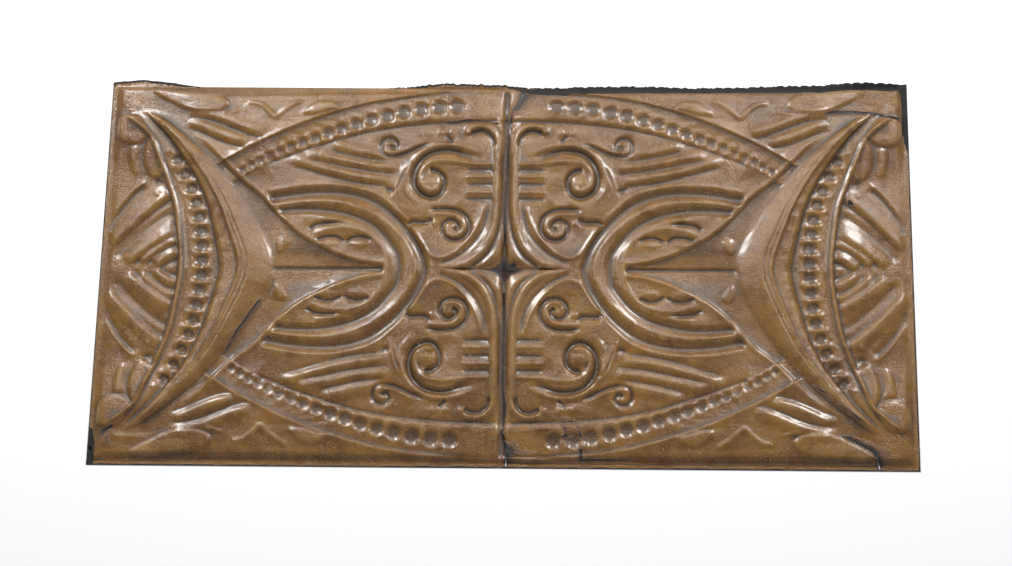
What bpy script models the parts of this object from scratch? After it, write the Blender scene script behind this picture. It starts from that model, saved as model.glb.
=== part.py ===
"""Pressed tin ceiling tile: one thin sheet, two square repeats long, lying face up.

The sheet's flat nailing rim has its back on the XY plane, X runs along the length and
+Z is the painted face. The pattern is the same in all four quarters, so every motif is
written once, for the quarter with positive x and y. Its lines are in shares of
HALF_REPEAT and its heights and widths in metres.
"""
import math

import bmesh
import bpy
import numpy as np

# Sheet
PANEL_LENGTH = 1.2192
PANEL_WIDTH = 0.6096
HALF_REPEAT = PANEL_WIDTH / 2
SHEET_THICKNESS = 0.0005
RIM_WIDTH = 0.009
RIM_WALL = 0.010
CROWN_RISE = 0.003

# Mesh
GRID_STEP = 0.0025
FACE_TRIANGLES = 4300
CURVE_STEPS = 5

# Levels of the pattern over the nailing rim
FIELD_RISE = 0.0055
BEAD_STRIP_RISE = 0.0018
SPANDREL_RISE = 0.0018
LEVEL_WALL = 0.0050
STRIP_ROOT_DEPTH = 0.0020
SIDE_FIELD_DROP = 0.0010
SIDE_WALL = 0.0060
SIDE_BAND_WIDTH = 0.0220
LOWEST_FLOOR = 0.0005
FOOT_BLEND = 0.0120

# Crescents, as heights over the field from the foot across to the outer line
CREST_RISE = 0.0088
VALLEY_RISE = 0.0062
SHOULDER_EDGE_RISE = 0.0070
SHOULDER_RISE = 0.0058
COLUMN_FLOOR = -0.0006
COLUMN_RISE = 0.0010
OUTER_RIDGE_RISE = 0.0042
OUTER_RIDGE_WIDTH = 0.0150
HORN_END = 0.84
HORN_FADE = 0.10
HORN_SWEEP = 1.5
HORN_START = 0.47
HORN_SPREAD = 0.25

# Ring round each end of the long axis
CHANNEL_DEPTH = 0.0044
CHANNEL_WIDTH = 0.0260
INNER_CHANNEL_DEPTH = 0.0040
INNER_CHANNEL_WIDTH = 0.0230
RING_RIDGE_RISE = 0.0012
RING_RIDGE_WIDTH = 0.0130
SOFT_BAND_DEPTH = 0.0022
SOFT_BAND_WALL = 0.0070
SOFT_BAND_END = 0.72
SOFT_BAND_FADE = 0.15
AXIS_CREASE_DEPTH = 0.0020
AXIS_CREASE_WIDTH = 0.0110

# Spine, loops and scrolls
SPINE_DEPTH = 0.0040
SPINE_WIDTH = 0.0160
SPINE_END = 0.97
SPINE_FADE = 0.04
STAR_DROP = 0.0030
STAR = (0.25, 0.17)
STAR_FADE = 0.25
LOOP_RISE = 0.0042
LOOP_WIDTH = 0.0220
LOOP_SHADOW_DEPTH = 0.0020
LOOP_SHADOW_WIDTH = 0.0130
HOOK_DEPTH = 0.0036
SCROLL_DEPTH = 0.0050
SCROLL_WIDTH = 0.0150
CURL_RISE = 0.0030
SMALL_SCROLL_DEPTH = 0.0038
SMALL_SCROLL_WIDTH = 0.0125
RIDGE_RISE = 0.0017
RIDGE_WIDTH = 0.0125
STEP_RISE = 0.0026
STEP_RUN = 0.0170
STEP_WALL = 0.0055
STEP_ROOT = 0.45
LEAF_RISE = 0.0028
LEAF_WALL = 0.0070

# Shares by which some lines are fainter, narrower or broader than the rest
FAINT = 0.8
NARROW = 0.85
BROAD = 1.3

# Beads are dimples pressed down into their strips
ARC_BEAD_DEPTH = 0.0034
BEAD_WALL = 0.26
COLUMN_BEAD_DEPTH = 0.0032
COLUMN_BEAD = 0.0260
COLUMN_BEAD_PITCH = 0.0233
COLUMN_BEAD_COUNT = 8
COLUMN_BEAD_TAPER = 0.03

# Nail holes, by place and half sizes
CENTRE_HOLE = (0.0, 0.0, 0.0150, 0.0085)
SPINE_NAIL = (0.0, -0.2120, 0.0022, 0.0022)
SIDE_NAIL = (0.5180, 0.1110, 0.0028, 0.0028)
HOLE_SIDES = 10
CUT_REACH = 0.05
CENTRE_RAGGED = 0.22
SHARP_ANGLE = 40.0

# Top edge as the sheet is now, worn back between the corners: place along the length
# and reach from the centre line, both in shares of HALF_REPEAT. The pattern beyond
# WORN_FROM is drawn in with it.
TOP_EDGE = ((-2.0, 1.0), (-1.85, 1.015), (-1.7, 0.998), (-1.5, 0.968), (-1.1, 0.957),
            (-0.8, 0.967), (-0.5, 0.98), (-0.35, 1.003), (0.0, 0.994), (0.1, 0.977),
            (0.6, 0.99), (1.0, 0.98), (1.6, 1.0), (1.8, 1.017), (2.0, 1.002))
WORN_FROM = 0.88
BORDER_REACH = 0.0015

PAINT_COLOUR = (0.235, 0.130, 0.050, 1.0)
PAINT_ROUGHNESS = 0.38
PAINT_METALLIC = 0.0

# Crescent from its foot across to its outer line: share across, how much that share
# shifts by the tip of the horn, and height over the field
CRESCENT_PROFILE = ((0.00, 0.00, 0.0),
                    (0.14, 0.01, CREST_RISE),
                    (0.205, -0.01, VALLEY_RISE),
                    (0.245, -0.03, VALLEY_RISE + 0.0010),
                    (0.285, -0.05, VALLEY_RISE - 0.0004),
                    (0.33, -0.07, SHOULDER_EDGE_RISE),
                    (0.37, -0.08, SHOULDER_RISE),
                    (0.575, -0.20, SHOULDER_RISE - 0.0006),
                    (0.645, -0.20, COLUMN_FLOOR),
                    (0.71, -0.15, COLUMN_RISE),
                    (0.94, 0.00, COLUMN_RISE),
                    (1.00, 0.00, COLUMN_FLOOR))

# Ring and lens field
LENS_START = 0.585
LENS_FADE = 0.03
RING_CREST = ((0.36, 0.0), (0.385, 0.08), (0.43, 0.165), (0.485, 0.24), (0.55, 0.315),
              (0.62, 0.38), (0.7, 0.413), (0.8, 0.435), (0.9, 0.443), (1.0, 0.438),
              (1.1, 0.422), (1.2, 0.400))
OUTER_CHANNEL = ((0.39, -0.02), (0.41, 0.06), (0.45, 0.145), (0.51, 0.23), (0.57, 0.29),
                 (0.64, 0.342), (0.73, 0.38), (0.85, 0.4), (0.95, 0.4), (1.05, 0.39),
                 (1.19, 0.363))
RING_LAND = ((0.445, -0.02), (0.46, 0.08), (0.5, 0.15), (0.56, 0.217), (0.63, 0.272),
             (0.7, 0.31), (0.8, 0.342), (0.9, 0.355), (1.0, 0.35), (1.1, 0.336), (1.19, 0.325))
INNER_CHANNEL = ((0.515, -0.02), (0.527, 0.07), (0.56, 0.125), (0.61, 0.19), (0.68, 0.245),
                 (0.77, 0.282), (0.87, 0.305), (0.97, 0.313), (1.05, 0.31), (1.14, 0.298))
LENS_EDGE = ((0.585, -0.02), (0.592, 0.06), (0.61, 0.11), (0.645, 0.158), (0.69, 0.19),
             (0.74, 0.208), (0.8, 0.215), (0.88, 0.205), (0.97, 0.17))
SOFT_BAND_EDGE = ((0.58, 0.030), (0.68, 0.042), (0.78, 0.07), (0.85, 0.098), (0.95, 0.150),
                  (1.02, 0.195), (1.1, 0.268), (1.16, 0.335), (1.22, 0.403), (1.3, 0.463),
                  (1.4, 0.565), (1.5, 0.665), (1.6, 0.755))
LENS_LEAF = ((0.81, 0.236), (0.87, 0.237), (0.93, 0.23), (0.968, 0.205))
LENS_LEAF_RIDGE = ((0.79, 0.245), (0.86, 0.258), (0.93, 0.262))
MOUSTACHE = (((0.655, 0.148), (0.71, 0.165), (0.755, 0.158), (0.79, 0.135)),
             ((0.79, 0.135), (0.83, 0.163), (0.88, 0.166), (0.94, 0.145)))
MOUSTACHE_BELLIES = ((0.715, 0.125, 0.060, 0.026, 0.0), (0.870, 0.128, 0.060, 0.024, 8.0))
BAND_LEAF = ((1.068, 0.142), (1.092, 0.165), (1.125, 0.14), (1.118, 0.085), (1.095, 0.095))

# Spine, loops and scrolls
LOOP_LINE = ((0.197, 0.705), (0.186, 0.742), (0.14, 0.757), (0.09, 0.748), (0.058, 0.715),
             (0.047, 0.66), (0.043, 0.56), (0.043, 0.4), (0.045, 0.3), (0.055, 0.22),
             (0.075, 0.16), (0.105, 0.1), (0.15, 0.055), (0.2, 0.026), (0.27, 0.004))
LOOP_SHADOW = ((0.016, 0.62), (0.018, 0.4), (0.022, 0.27), (0.034, 0.19), (0.06, 0.115),
               (0.09, 0.068), (0.13, 0.032), (0.18, 0.006))
HOOK_LINE = ((0.062, 0.64), (0.068, 0.69), (0.095, 0.722), (0.13, 0.733), (0.165, 0.722),
             (0.178, 0.70))
FRAME_GROOVE = ((0.088, 0.34), (0.093, 0.27), (0.113, 0.2), (0.15, 0.14), (0.2, 0.088),
                (0.26, 0.05), (0.33, 0.02))
FRAME_RIDGE = ((0.105, 0.34), (0.118, 0.275), (0.14, 0.222), (0.168, 0.172), (0.205, 0.124),
               (0.25, 0.083), (0.31, 0.057), (0.352, 0.064), (0.385, 0.096), (0.413, 0.142),
               (0.442, 0.188), (0.468, 0.222))
SCROLL_LINE = ((0.12, 0.583), (0.2, 0.602), (0.25, 0.62), (0.3, 0.627), (0.36, 0.617),
               (0.4, 0.597), (0.432, 0.563), (0.452, 0.52), (0.457, 0.47), (0.443, 0.42),
               (0.41, 0.388), (0.37, 0.375), (0.335, 0.388), (0.312, 0.423), (0.307, 0.466),
               (0.323, 0.502), (0.355, 0.52), (0.382, 0.518))
SCROLL_CREST = ((0.10, 0.598), (0.15, 0.622), (0.2, 0.643), (0.25, 0.657), (0.31, 0.66),
                (0.37, 0.647), (0.42, 0.62), (0.455, 0.582), (0.474, 0.54), (0.49, 0.49),
                (0.497, 0.44), (0.485, 0.395), (0.455, 0.358), (0.42, 0.325))
CURL_LINE = ((0.16, 0.557), (0.24, 0.567), (0.3, 0.572), (0.355, 0.566), (0.398, 0.545),
             (0.424, 0.505), (0.428, 0.455), (0.408, 0.422), (0.372, 0.41), (0.345, 0.42))
CURL_BELLY = (0.385, 0.452, 0.062, 0.050, 0.0)
BOWL = (0.275, 0.400, 0.085, 0.080, -30.0)
SMALL_SCROLL_LINE = ((0.385, 0.302), (0.33, 0.315), (0.28, 0.315), (0.23, 0.304), (0.192, 0.275),
                     (0.176, 0.23), (0.186, 0.186), (0.215, 0.158), (0.255, 0.15), (0.29, 0.164),
                     (0.31, 0.197), (0.304, 0.236), (0.274, 0.256), (0.243, 0.244),
                     (0.233, 0.217), (0.25, 0.205))
SMALL_SCROLL_RIDGE = ((0.37, 0.285), (0.3, 0.287), (0.25, 0.28), (0.216, 0.252), (0.205, 0.212),
                      (0.224, 0.181), (0.258, 0.171), (0.284, 0.187))
UPPER_SCROLL_LINE = ((0.37, 0.665), (0.43, 0.645), (0.48, 0.618), (0.53, 0.598), (0.58, 0.592),
                     (0.615, 0.608), (0.627, 0.64), (0.618, 0.675), (0.59, 0.69), (0.56, 0.682),
                     (0.547, 0.657), (0.562, 0.638), (0.58, 0.647))
UPPER_SCROLL_RIDGE = ((0.43, 0.667), (0.49, 0.636), (0.54, 0.617), (0.583, 0.617))
STEM_BALL_LINE = ((0.372, 0.275), (0.38, 0.248), (0.42, 0.243), (0.455, 0.247), (0.48, 0.23))
STEM_BALL = (0.348, 0.238, 0.024, 0.022, 0.0)
LIP_RIDGES = (((0.46, 0.575), (0.505, 0.53), (0.53, 0.475), (0.548, 0.41), (0.556, 0.345)),
              ((0.478, 0.55), (0.5, 0.49), (0.522, 0.43), (0.528, 0.38)))
LIP_POCKET = (0.580, 0.415, 0.040, 0.026, 20.0)
BAR_RIDGES = (0.555, 0.485, 0.402)
BAR_GROOVES = (0.521, 0.445, 0.366)
BAR_REACH = (0.062, 0.205)
BUDS = ((0.272, 0.722, 0.026, 0.022, 70.0), (0.332, 0.720, 0.026, 0.022, 110.0))
BUD_SHADOW = ((0.305, 0.712), (0.288, 0.688), (0.268, 0.662))
HOOK_BALL = (0.195, 0.718, 0.022, 0.020, 0.0)

# Feathers: dark roots under bright edges, from the inside out
FEATHERS = (((0.55, 0.578), (0.63, 0.585), (0.72, 0.598), (0.8, 0.617), (0.89, 0.64)),
            ((0.54, 0.517), (0.64, 0.521), (0.74, 0.537), (0.83, 0.556), (0.92, 0.575),
             (1.02, 0.596)),
            ((0.575, 0.448), (0.64, 0.455), (0.73, 0.466), (0.82, 0.487), (0.91, 0.512),
             (1.0, 0.54), (1.09, 0.562)))

# Bead arc
STRIP_LOW = ((0.03, 0.79), (0.2, 0.785), (0.35, 0.776), (0.5, 0.76), (0.6, 0.745), (0.7, 0.725),
             (0.8, 0.698), (0.9, 0.666), (1.0, 0.634), (1.1, 0.594), (1.2, 0.552), (1.3, 0.492),
             (1.36, 0.455))
STRIP_TOP = ((0.0, 0.957), (0.2, 0.955), (0.4, 0.94), (0.6, 0.91), (0.7, 0.885), (0.8, 0.855),
             (0.9, 0.822), (1.0, 0.785), (1.1, 0.74), (1.2, 0.69), (1.3, 0.637), (1.44, 0.55))
ARC_BEADS = ((0.25, 0.865), (0.34, 0.86), (0.43, 0.85), (0.52, 0.832), (0.6, 0.812),
             (0.68, 0.79), (0.755, 0.766), (0.827, 0.741), (0.895, 0.716), (0.96, 0.690),
             (1.02, 0.665), (1.078, 0.64), (1.13, 0.615), (1.182, 0.59), (1.23, 0.565),
             (1.275, 0.54), (1.317, 0.515))
ARC_BEAD_SIZES = (0.0310, 0.0165)

# Crescent
CRESCENT_FOOT = ((1.135, -0.02), (1.15, 0.08), (1.17, 0.13), (1.195, 0.18), (1.25, 0.27),
                 (1.3, 0.353), (1.35, 0.425), (1.4, 0.49), (1.45, 0.55), (1.5, 0.602),
                 (1.6, 0.695), (1.7, 0.775), (1.8, 0.85), (2.02, 1.02))
CRESCENT_OUTER = ((1.568, -0.02), (1.575, 0.1), (1.588, 0.2), (1.603, 0.3), (1.628, 0.38),
                  (1.66, 0.46), (1.69, 0.52), (1.72, 0.58), (1.76, 0.655), (1.79, 0.7),
                  (1.83, 0.755), (1.88, 0.815), (2.02, 0.97))
OUTER_RIDGE = ((1.596, -0.02), (1.604, 0.1), (1.617, 0.2), (1.632, 0.3), (1.655, 0.38),
               (1.683, 0.455), (1.708, 0.52), (1.74, 0.6), (1.775, 0.672))
COLUMN_LINE = ((1.492, 0.0), (1.496, 0.1), (1.508, 0.2), (1.527, 0.3), (1.56, 0.4),
               (1.605, 0.5), (1.66, 0.6))

# Side field
SIDE_STEPS = (((1.61, 0.062), (1.66, 0.045), (1.715, 0.0)),
              ((1.615, 0.135), (1.68, 0.11), (1.74, 0.065), (1.79, 0.015)),
              ((1.625, 0.19), (1.7, 0.148), (1.78, 0.09), (1.86, 0.01)),
              ((1.655, 0.385), (1.7, 0.352), (1.77, 0.292), (1.84, 0.222), (1.9, 0.158),
               (1.96, 0.095)))
SIDE_BANDS = (((1.64, 0.305), (1.7, 0.27), (1.77, 0.215), (1.85, 0.14), (1.93, 0.05)),
              ((1.79, 0.438), (1.85, 0.382), (1.9, 0.32), (1.945, 0.25), (1.975, 0.19)))
SIDE_RIDGE = ((1.79, 0.462), (1.84, 0.425), (1.885, 0.375), (1.93, 0.31), (1.96, 0.25))
SIDE_POCKET = (1.735, 0.455, 0.040, 0.030, 20.0)
SIDE_KNOB = (1.738, 0.392, 0.024, 0.022, 0.0)
LEAF_BY_RIDGE = ((1.712, 0.512), (1.728, 0.57), (1.755, 0.63), (1.788, 0.684), (1.806, 0.655),
                 (1.815, 0.6), (1.802, 0.53), (1.77, 0.482), (1.735, 0.485))
OUTER_LEAF = ((1.84, 0.508), (1.848, 0.58), (1.842, 0.64), (1.885, 0.637), (1.888, 0.58),
              (1.87, 0.51))
PETAL = ((1.80, 0.712), (1.822, 0.674), (1.87, 0.656), (1.93, 0.672), (1.965, 0.73),
         (1.96, 0.785), (1.92, 0.812), (1.868, 0.808), (1.822, 0.762))

# Spandrel
SPANDREL_STEPS = (((1.21, 0.70), (1.3, 0.722), (1.37, 0.752), (1.45, 0.785), (1.53, 0.803),
                   (1.62, 0.812)),
                  ((1.3, 0.652), (1.38, 0.668), (1.46, 0.698), (1.54, 0.735), (1.61, 0.762)))
TONGUE = ((1.405, 0.875), (1.42, 0.848), (1.47, 0.835), (1.55, 0.832), (1.62, 0.846),
          (1.68, 0.878), (1.74, 0.908), (1.785, 0.942), (1.70, 0.955), (1.58, 0.940),
          (1.46, 0.935), (1.42, 0.910))
GULL_LINE = ((1.02, 0.905), (1.07, 0.88), (1.12, 0.842), (1.165, 0.805), (1.205, 0.842),
             (1.25, 0.875), (1.31, 0.885))
SCALLOP = ((0.845, 0.848), (0.865, 0.878), (0.905, 0.893), (0.95, 0.889), (0.99, 0.862),
           (1.02, 0.822), (0.95, 0.822), (0.89, 0.842))
SPANDREL_RIDGE = ((1.335, 0.842), (1.385, 0.826), (1.44, 0.82))


def smooth_curve(points, steps=CURVE_STEPS):
    """Catmull-Rom curve through the points."""
    p = np.array(points, float)
    p = np.vstack((2 * p[0] - p[1], p, 2 * p[-1] - p[-2]))
    t = np.linspace(0, 1, steps, endpoint=False)[:, None]
    parts = []
    for a, b, c, d in zip(p[:-3], p[1:-2], p[2:-1], p[3:]):
        parts.append(0.5 * (2 * b + (c - a) * t + (2 * a - 5 * b + 4 * c - d) * t ** 2
                            + (3 * b - a - 3 * c + d) * t ** 3))
    return np.vstack(parts + [p[-2:-1]])


def closed_curve(points, steps=CURVE_STEPS):
    """Smooth closed outline through the points."""
    count = len(points)
    ring = [points[k % count] for k in range(-1, count + 2)]
    curve = smooth_curve(ring, steps)
    return curve[steps:steps * (count + 1) + 1]


def along(curve, u, v):
    """Distance in metres, side (positive left of travel) and share of length, to a curve."""
    best = np.full(u.shape, 1e9)
    side = np.ones(u.shape)
    share = np.zeros(u.shape)
    lengths = np.hypot(*np.diff(curve, axis=0).T)
    starts = np.concatenate(([0], np.cumsum(lengths)))
    for (au, av), (bu, bv), length, start in zip(curve[:-1], curve[1:], lengths, starts):
        du, dv = bu - au, bv - av
        t = np.clip(((u - au) * du + (v - av) * dv) / length ** 2, 0, 1)
        gap = np.hypot(u - au - t * du, v - av - t * dv)
        near = gap < best
        best = np.where(near, gap, best)
        side = np.where(near, np.sign(du * (v - av) - dv * (u - au)), side)
        share = np.where(near, (start + t * length) / starts[-1], share)
    return best * HALF_REPEAT, side, share


def past(points, u, v):
    """Signed distance in metres to an open line, positive left of travel."""
    gap, side, _ = along(smooth_curve(points), u, v)
    return gap * side


def close_to(curve, u, v, reach):
    """Mask of the places within reach in metres of the curve's box."""
    low = curve.min(axis=0) - reach / HALF_REPEAT
    high = curve.max(axis=0) + reach / HALF_REPEAT
    return (u > low[0]) & (u < high[0]) & (v > low[1]) & (v < high[1])


def ease(x):
    """Smooth step from 0 to 1."""
    x = np.clip(x, 0, 1)
    return x * x * (3 - 2 * x)


def round_bar(gap, width):
    """Rounded cross-section, 1 at the middle and 0 at half the width."""
    return np.where(gap < width / 2, np.cos(np.pi * gap / width) ** 2, 0)


def fade_ends(share, start=0.08, end=0.08):
    """Fade in and out towards a line's two ends."""
    return ease(share / max(start, 1e-6)) * ease((1 - share) / max(end, 1e-6))


def stroke(points, u, v, width, start=0.08, end=0.08):
    """Rounded bar along a line, fading towards its ends."""
    curve = smooth_curve(points)
    near = close_to(curve, u, v, width / 2)
    gap, _, share = along(curve, u[near], v[near])
    bar = np.zeros(u.shape)
    bar[near] = round_bar(gap, width) * fade_ends(share, start, end)
    return bar


def step(points, u, v, run, wall):
    """Edge left of a line that slopes back to nothing, with its root on the line."""
    curve = smooth_curve(points)
    near = close_to(curve, u, v, run)
    gap, side, share = along(curve, u[near], v[near])
    d = gap * side
    rise = ease((d + wall) / (2 * wall)) * (1 - ease((d - wall) / run))
    root = round_bar(np.abs(d + wall), 3 * wall)
    inside = (share > 0.001) & (share < 0.999)
    bar = np.zeros(u.shape)
    bar[near] = np.where(inside, (rise - STEP_ROOT * root) * fade_ends(share, 0.10, 0.14), 0)
    return bar


def plate(points, u, v, wall):
    """Raised leaf inside a closed outline, 1 inside and 0 outside, with soft walls."""
    curve = closed_curve(points)
    near = close_to(curve, u, v, wall)
    uu, vv = u[near], v[near]
    gap, _, _ = along(curve, uu, vv)
    inside = np.zeros(uu.shape, bool)
    for (au, av), (bu, bv) in zip(curve[:-1], curve[1:]):
        crosses = (av > vv) != (bv > vv)
        reach = au + (vv - av) / (bv - av + 1e-12) * (bu - au)
        inside ^= crosses & (uu < reach)
    bar = np.zeros(u.shape)
    bar[near] = ease(0.5 + np.where(inside, gap, -gap) / wall)
    return bar


def spot(shape, u, v):
    """Domed ellipse: centre, half sizes and turn in degrees."""
    cu, cv, a, b, turn = shape
    c, s = math.cos(math.radians(turn)), math.sin(math.radians(turn))
    p = ((u - cu) * c + (v - cv) * s) / a
    q = ((v - cv) * c - (u - cu) * s) / b
    return ease(1 - np.sqrt(p * p + q * q))


def dimple(cu, cv, diameter, u, v):
    """Round dimple with a small flat floor, 1 on its floor."""
    r = np.hypot(u - cu, v - cv) * HALF_REPEAT
    return ease((diameter / 2 - r) / (BEAD_WALL * diameter))


def crescent(u, v, past_foot, past_outer):
    """Crescent over the field, between its foot and its outer line."""
    across = past_foot / np.maximum(np.abs(past_foot) + np.abs(past_outer), 1e-6)
    tip = np.clip(v / HORN_END, 0, 1) ** HORN_SWEEP
    height = np.zeros(u.shape)
    for (w0, s0, h0), (w1, s1, h1) in zip(CRESCENT_PROFILE[:-1], CRESCENT_PROFILE[1:]):
        a = w0 + s0 * tip
        b = w1 + s1 * tip
        t = (across - a) / np.maximum(b - a, 1e-6)
        height = np.where((t >= 0) & (across <= b), h0 + (h1 - h0) * ease(t), height)
    height = np.where((past_foot <= 0) | (past_outer < 0), 0, height)
    return (height * ease((HORN_END - v) / HORN_FADE)
            + OUTER_RIDGE_RISE * stroke(OUTER_RIDGE, u, v, OUTER_RIDGE_WIDTH, 0.0, 0.06))


def bead_column(u, v):
    """Column of dimples that follows the crescent's outer side."""
    line = smooth_curve(COLUMN_LINE)
    beads = np.zeros(u.shape)
    for k in range(COLUMN_BEAD_COUNT):
        cv = (k + 0.5) * COLUMN_BEAD_PITCH / HALF_REPEAT
        cu = np.interp(cv, line[:, 1], line[:, 0])
        beads = np.maximum(beads, dimple(cu, cv, COLUMN_BEAD * (1 - COLUMN_BEAD_TAPER * k), u, v))
    return -COLUMN_BEAD_DEPTH * beads


def bead_arc(u, v, in_lens):
    """Strip with its row of dimples, stepped up over the lens field, and what lies beyond."""
    past_low = past(STRIP_LOW, u, v)
    past_top = past(STRIP_TOP, u, v)
    over_low = ease((past_low + LEVEL_WALL / 2) / LEVEL_WALL)
    over_top = ease((past_top + LEVEL_WALL / 2) / LEVEL_WALL)
    levels = BEAD_STRIP_RISE * over_low + SPANDREL_RISE * over_top
    beyond = (BEAD_STRIP_RISE + SPANDREL_RISE) * ease((v - HORN_START) / HORN_SPREAD)
    z = beyond + (levels - beyond) * in_lens
    z = z + RIDGE_RISE * round_bar(np.abs(past_top), RIDGE_WIDTH) * in_lens
    z = z - STRIP_ROOT_DEPTH * stroke(STRIP_LOW[:-2], u, v, RIDGE_WIDTH * BROAD, 0.02, 0.02)
    for k, (cu, cv) in enumerate(ARC_BEADS):
        share = k / (len(ARC_BEADS) - 1)
        size = ARC_BEAD_SIZES[0] + (ARC_BEAD_SIZES[1] - ARC_BEAD_SIZES[0]) * share
        z = z - ARC_BEAD_DEPTH * dimple(cu, cv, size, u, v) * size / ARC_BEAD_SIZES[0]
    return z


def ring(u, v, in_lens):
    """Double channel round the end of the long axis, and the lens field inside it."""
    z = -CHANNEL_DEPTH * stroke(OUTER_CHANNEL, u, v, CHANNEL_WIDTH, 0.0, 0.04)
    z = z - INNER_CHANNEL_DEPTH * stroke(INNER_CHANNEL, u, v, INNER_CHANNEL_WIDTH, 0.0, 0.05)
    for line in (RING_CREST, RING_LAND, LENS_EDGE):
        z = z + RING_RIDGE_RISE * stroke(line, u, v, RING_RIDGE_WIDTH, 0.0, 0.1)
    inside = (ease((u - LENS_START) / LENS_FADE) * ease((SOFT_BAND_END - v) / SOFT_BAND_FADE)
              * in_lens)
    z = z - SOFT_BAND_DEPTH * ease(-past(SOFT_BAND_EDGE, u, v) / SOFT_BAND_WALL) * inside
    z = z + RIDGE_RISE * FAINT * stroke(SOFT_BAND_EDGE, u, v, RIDGE_WIDTH * BROAD, 0.02, 0.3)
    z = z - AXIS_CREASE_DEPTH * round_bar(v * HALF_REPEAT, AXIS_CREASE_WIDTH) * inside
    z = z + LEAF_RISE * FAINT * plate(BAND_LEAF, u, v, LEAF_WALL)
    z = z - SMALL_SCROLL_DEPTH * FAINT * stroke(LENS_LEAF, u, v, SMALL_SCROLL_WIDTH, 0.35, 0.05)
    z = z + RIDGE_RISE * FAINT * stroke(LENS_LEAF_RIDGE, u, v, RIDGE_WIDTH, 0.2, 0.2)
    for arc in MOUSTACHE:
        z = z - SMALL_SCROLL_DEPTH * FAINT * stroke(arc, u, v, RIDGE_WIDTH, 0.15, 0.15)
    for belly in MOUSTACHE_BELLIES:
        z = z + RIDGE_RISE * spot(belly, u, v)
    return z


def spine(u, v):
    """Groove down the middle, the loop beside it and the field that it frames."""
    star = np.sqrt(np.clip(u / STAR[0], 0, None)) + np.sqrt(np.clip(v / STAR[1], 0, None))
    z = -STAR_DROP * ease((1 + STAR_FADE / 2 - star) / STAR_FADE)
    z = z - (SPINE_DEPTH * round_bar(u * HALF_REPEAT, SPINE_WIDTH)
             * ease((SPINE_END - v) / SPINE_FADE))
    z = z - LOOP_SHADOW_DEPTH * stroke(LOOP_SHADOW, u, v, LOOP_SHADOW_WIDTH, 0.05, 0.05)
    z = z + LOOP_RISE * stroke(LOOP_LINE, u, v, LOOP_WIDTH, 0.02, 0.10)
    z = z - HOOK_DEPTH * stroke(HOOK_LINE, u, v, SMALL_SCROLL_WIDTH, 0.15, 0.1)
    z = z + RIDGE_RISE * spot(HOOK_BALL, u, v)
    z = z - RIDGE_RISE * stroke(FRAME_GROOVE, u, v, RIDGE_WIDTH * BROAD, 0.15, 0.1)
    z = z + RIDGE_RISE * stroke(FRAME_RIDGE, u, v, RIDGE_WIDTH * NARROW, 0.05, 0.02)
    for level in BAR_RIDGES:
        bar = ((BAR_REACH[0], level), (BAR_REACH[1], level))
        z = z + RIDGE_RISE * stroke(bar, u, v, RIDGE_WIDTH * NARROW, 0.1, 0.15)
    for level in BAR_GROOVES:
        bar = ((BAR_REACH[0], level), (BAR_REACH[1], level))
        z = z - RIDGE_RISE * stroke(bar, u, v, RIDGE_WIDTH * BROAD, 0.1, 0.2)
    for bud in BUDS:
        z = z + RIDGE_RISE * spot(bud, u, v)
    return z - SMALL_SCROLL_DEPTH * FAINT * stroke(BUD_SHADOW, u, v, RIDGE_WIDTH, 0.2, 0.2)


def scrolls(u, v):
    """Large volute, the small scrolls by it, the leaf lip beside it and the feathers."""
    z = RIDGE_RISE * stroke(SCROLL_CREST, u, v, RIDGE_WIDTH * BROAD, 0.15, 0.12)
    z = z + CURL_RISE * FAINT * stroke(CURL_LINE, u, v, RIDGE_WIDTH * BROAD, 0.1, 0.0)
    z = z + CURL_RISE * spot(CURL_BELLY, u, v)
    z = z - RIDGE_RISE * spot(BOWL, u, v)
    z = z - SCROLL_DEPTH * stroke(SCROLL_LINE, u, v, SCROLL_WIDTH, 0.20, 0.02)
    z = z - SMALL_SCROLL_DEPTH * stroke(SMALL_SCROLL_LINE, u, v, SMALL_SCROLL_WIDTH, 0.08, 0.0)
    z = z + RIDGE_RISE * FAINT * stroke(SMALL_SCROLL_RIDGE, u, v, RIDGE_WIDTH * NARROW, 0.08, 0.0)
    z = z - SMALL_SCROLL_DEPTH * FAINT * stroke(UPPER_SCROLL_LINE, u, v, SMALL_SCROLL_WIDTH,
                                              0.15, 0.0)
    z = z + RIDGE_RISE * FAINT * stroke(UPPER_SCROLL_RIDGE, u, v, RIDGE_WIDTH * NARROW, 0.2, 0.1)
    z = z - SMALL_SCROLL_DEPTH * stroke(STEM_BALL_LINE, u, v, SMALL_SCROLL_WIDTH * BROAD, 0.15, 0.0)
    z = z + RIDGE_RISE * spot(STEM_BALL, u, v)
    for lip in LIP_RIDGES:
        z = z + RIDGE_RISE * FAINT * stroke(lip, u, v, RIDGE_WIDTH * NARROW, 0.1, 0.15)
    z = z - SMALL_SCROLL_DEPTH * FAINT * spot(LIP_POCKET, u, v)
    for feather in FEATHERS:
        z = z + STEP_RISE * step(feather, u, v, STEP_RUN, STEP_WALL)
    return z


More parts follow.
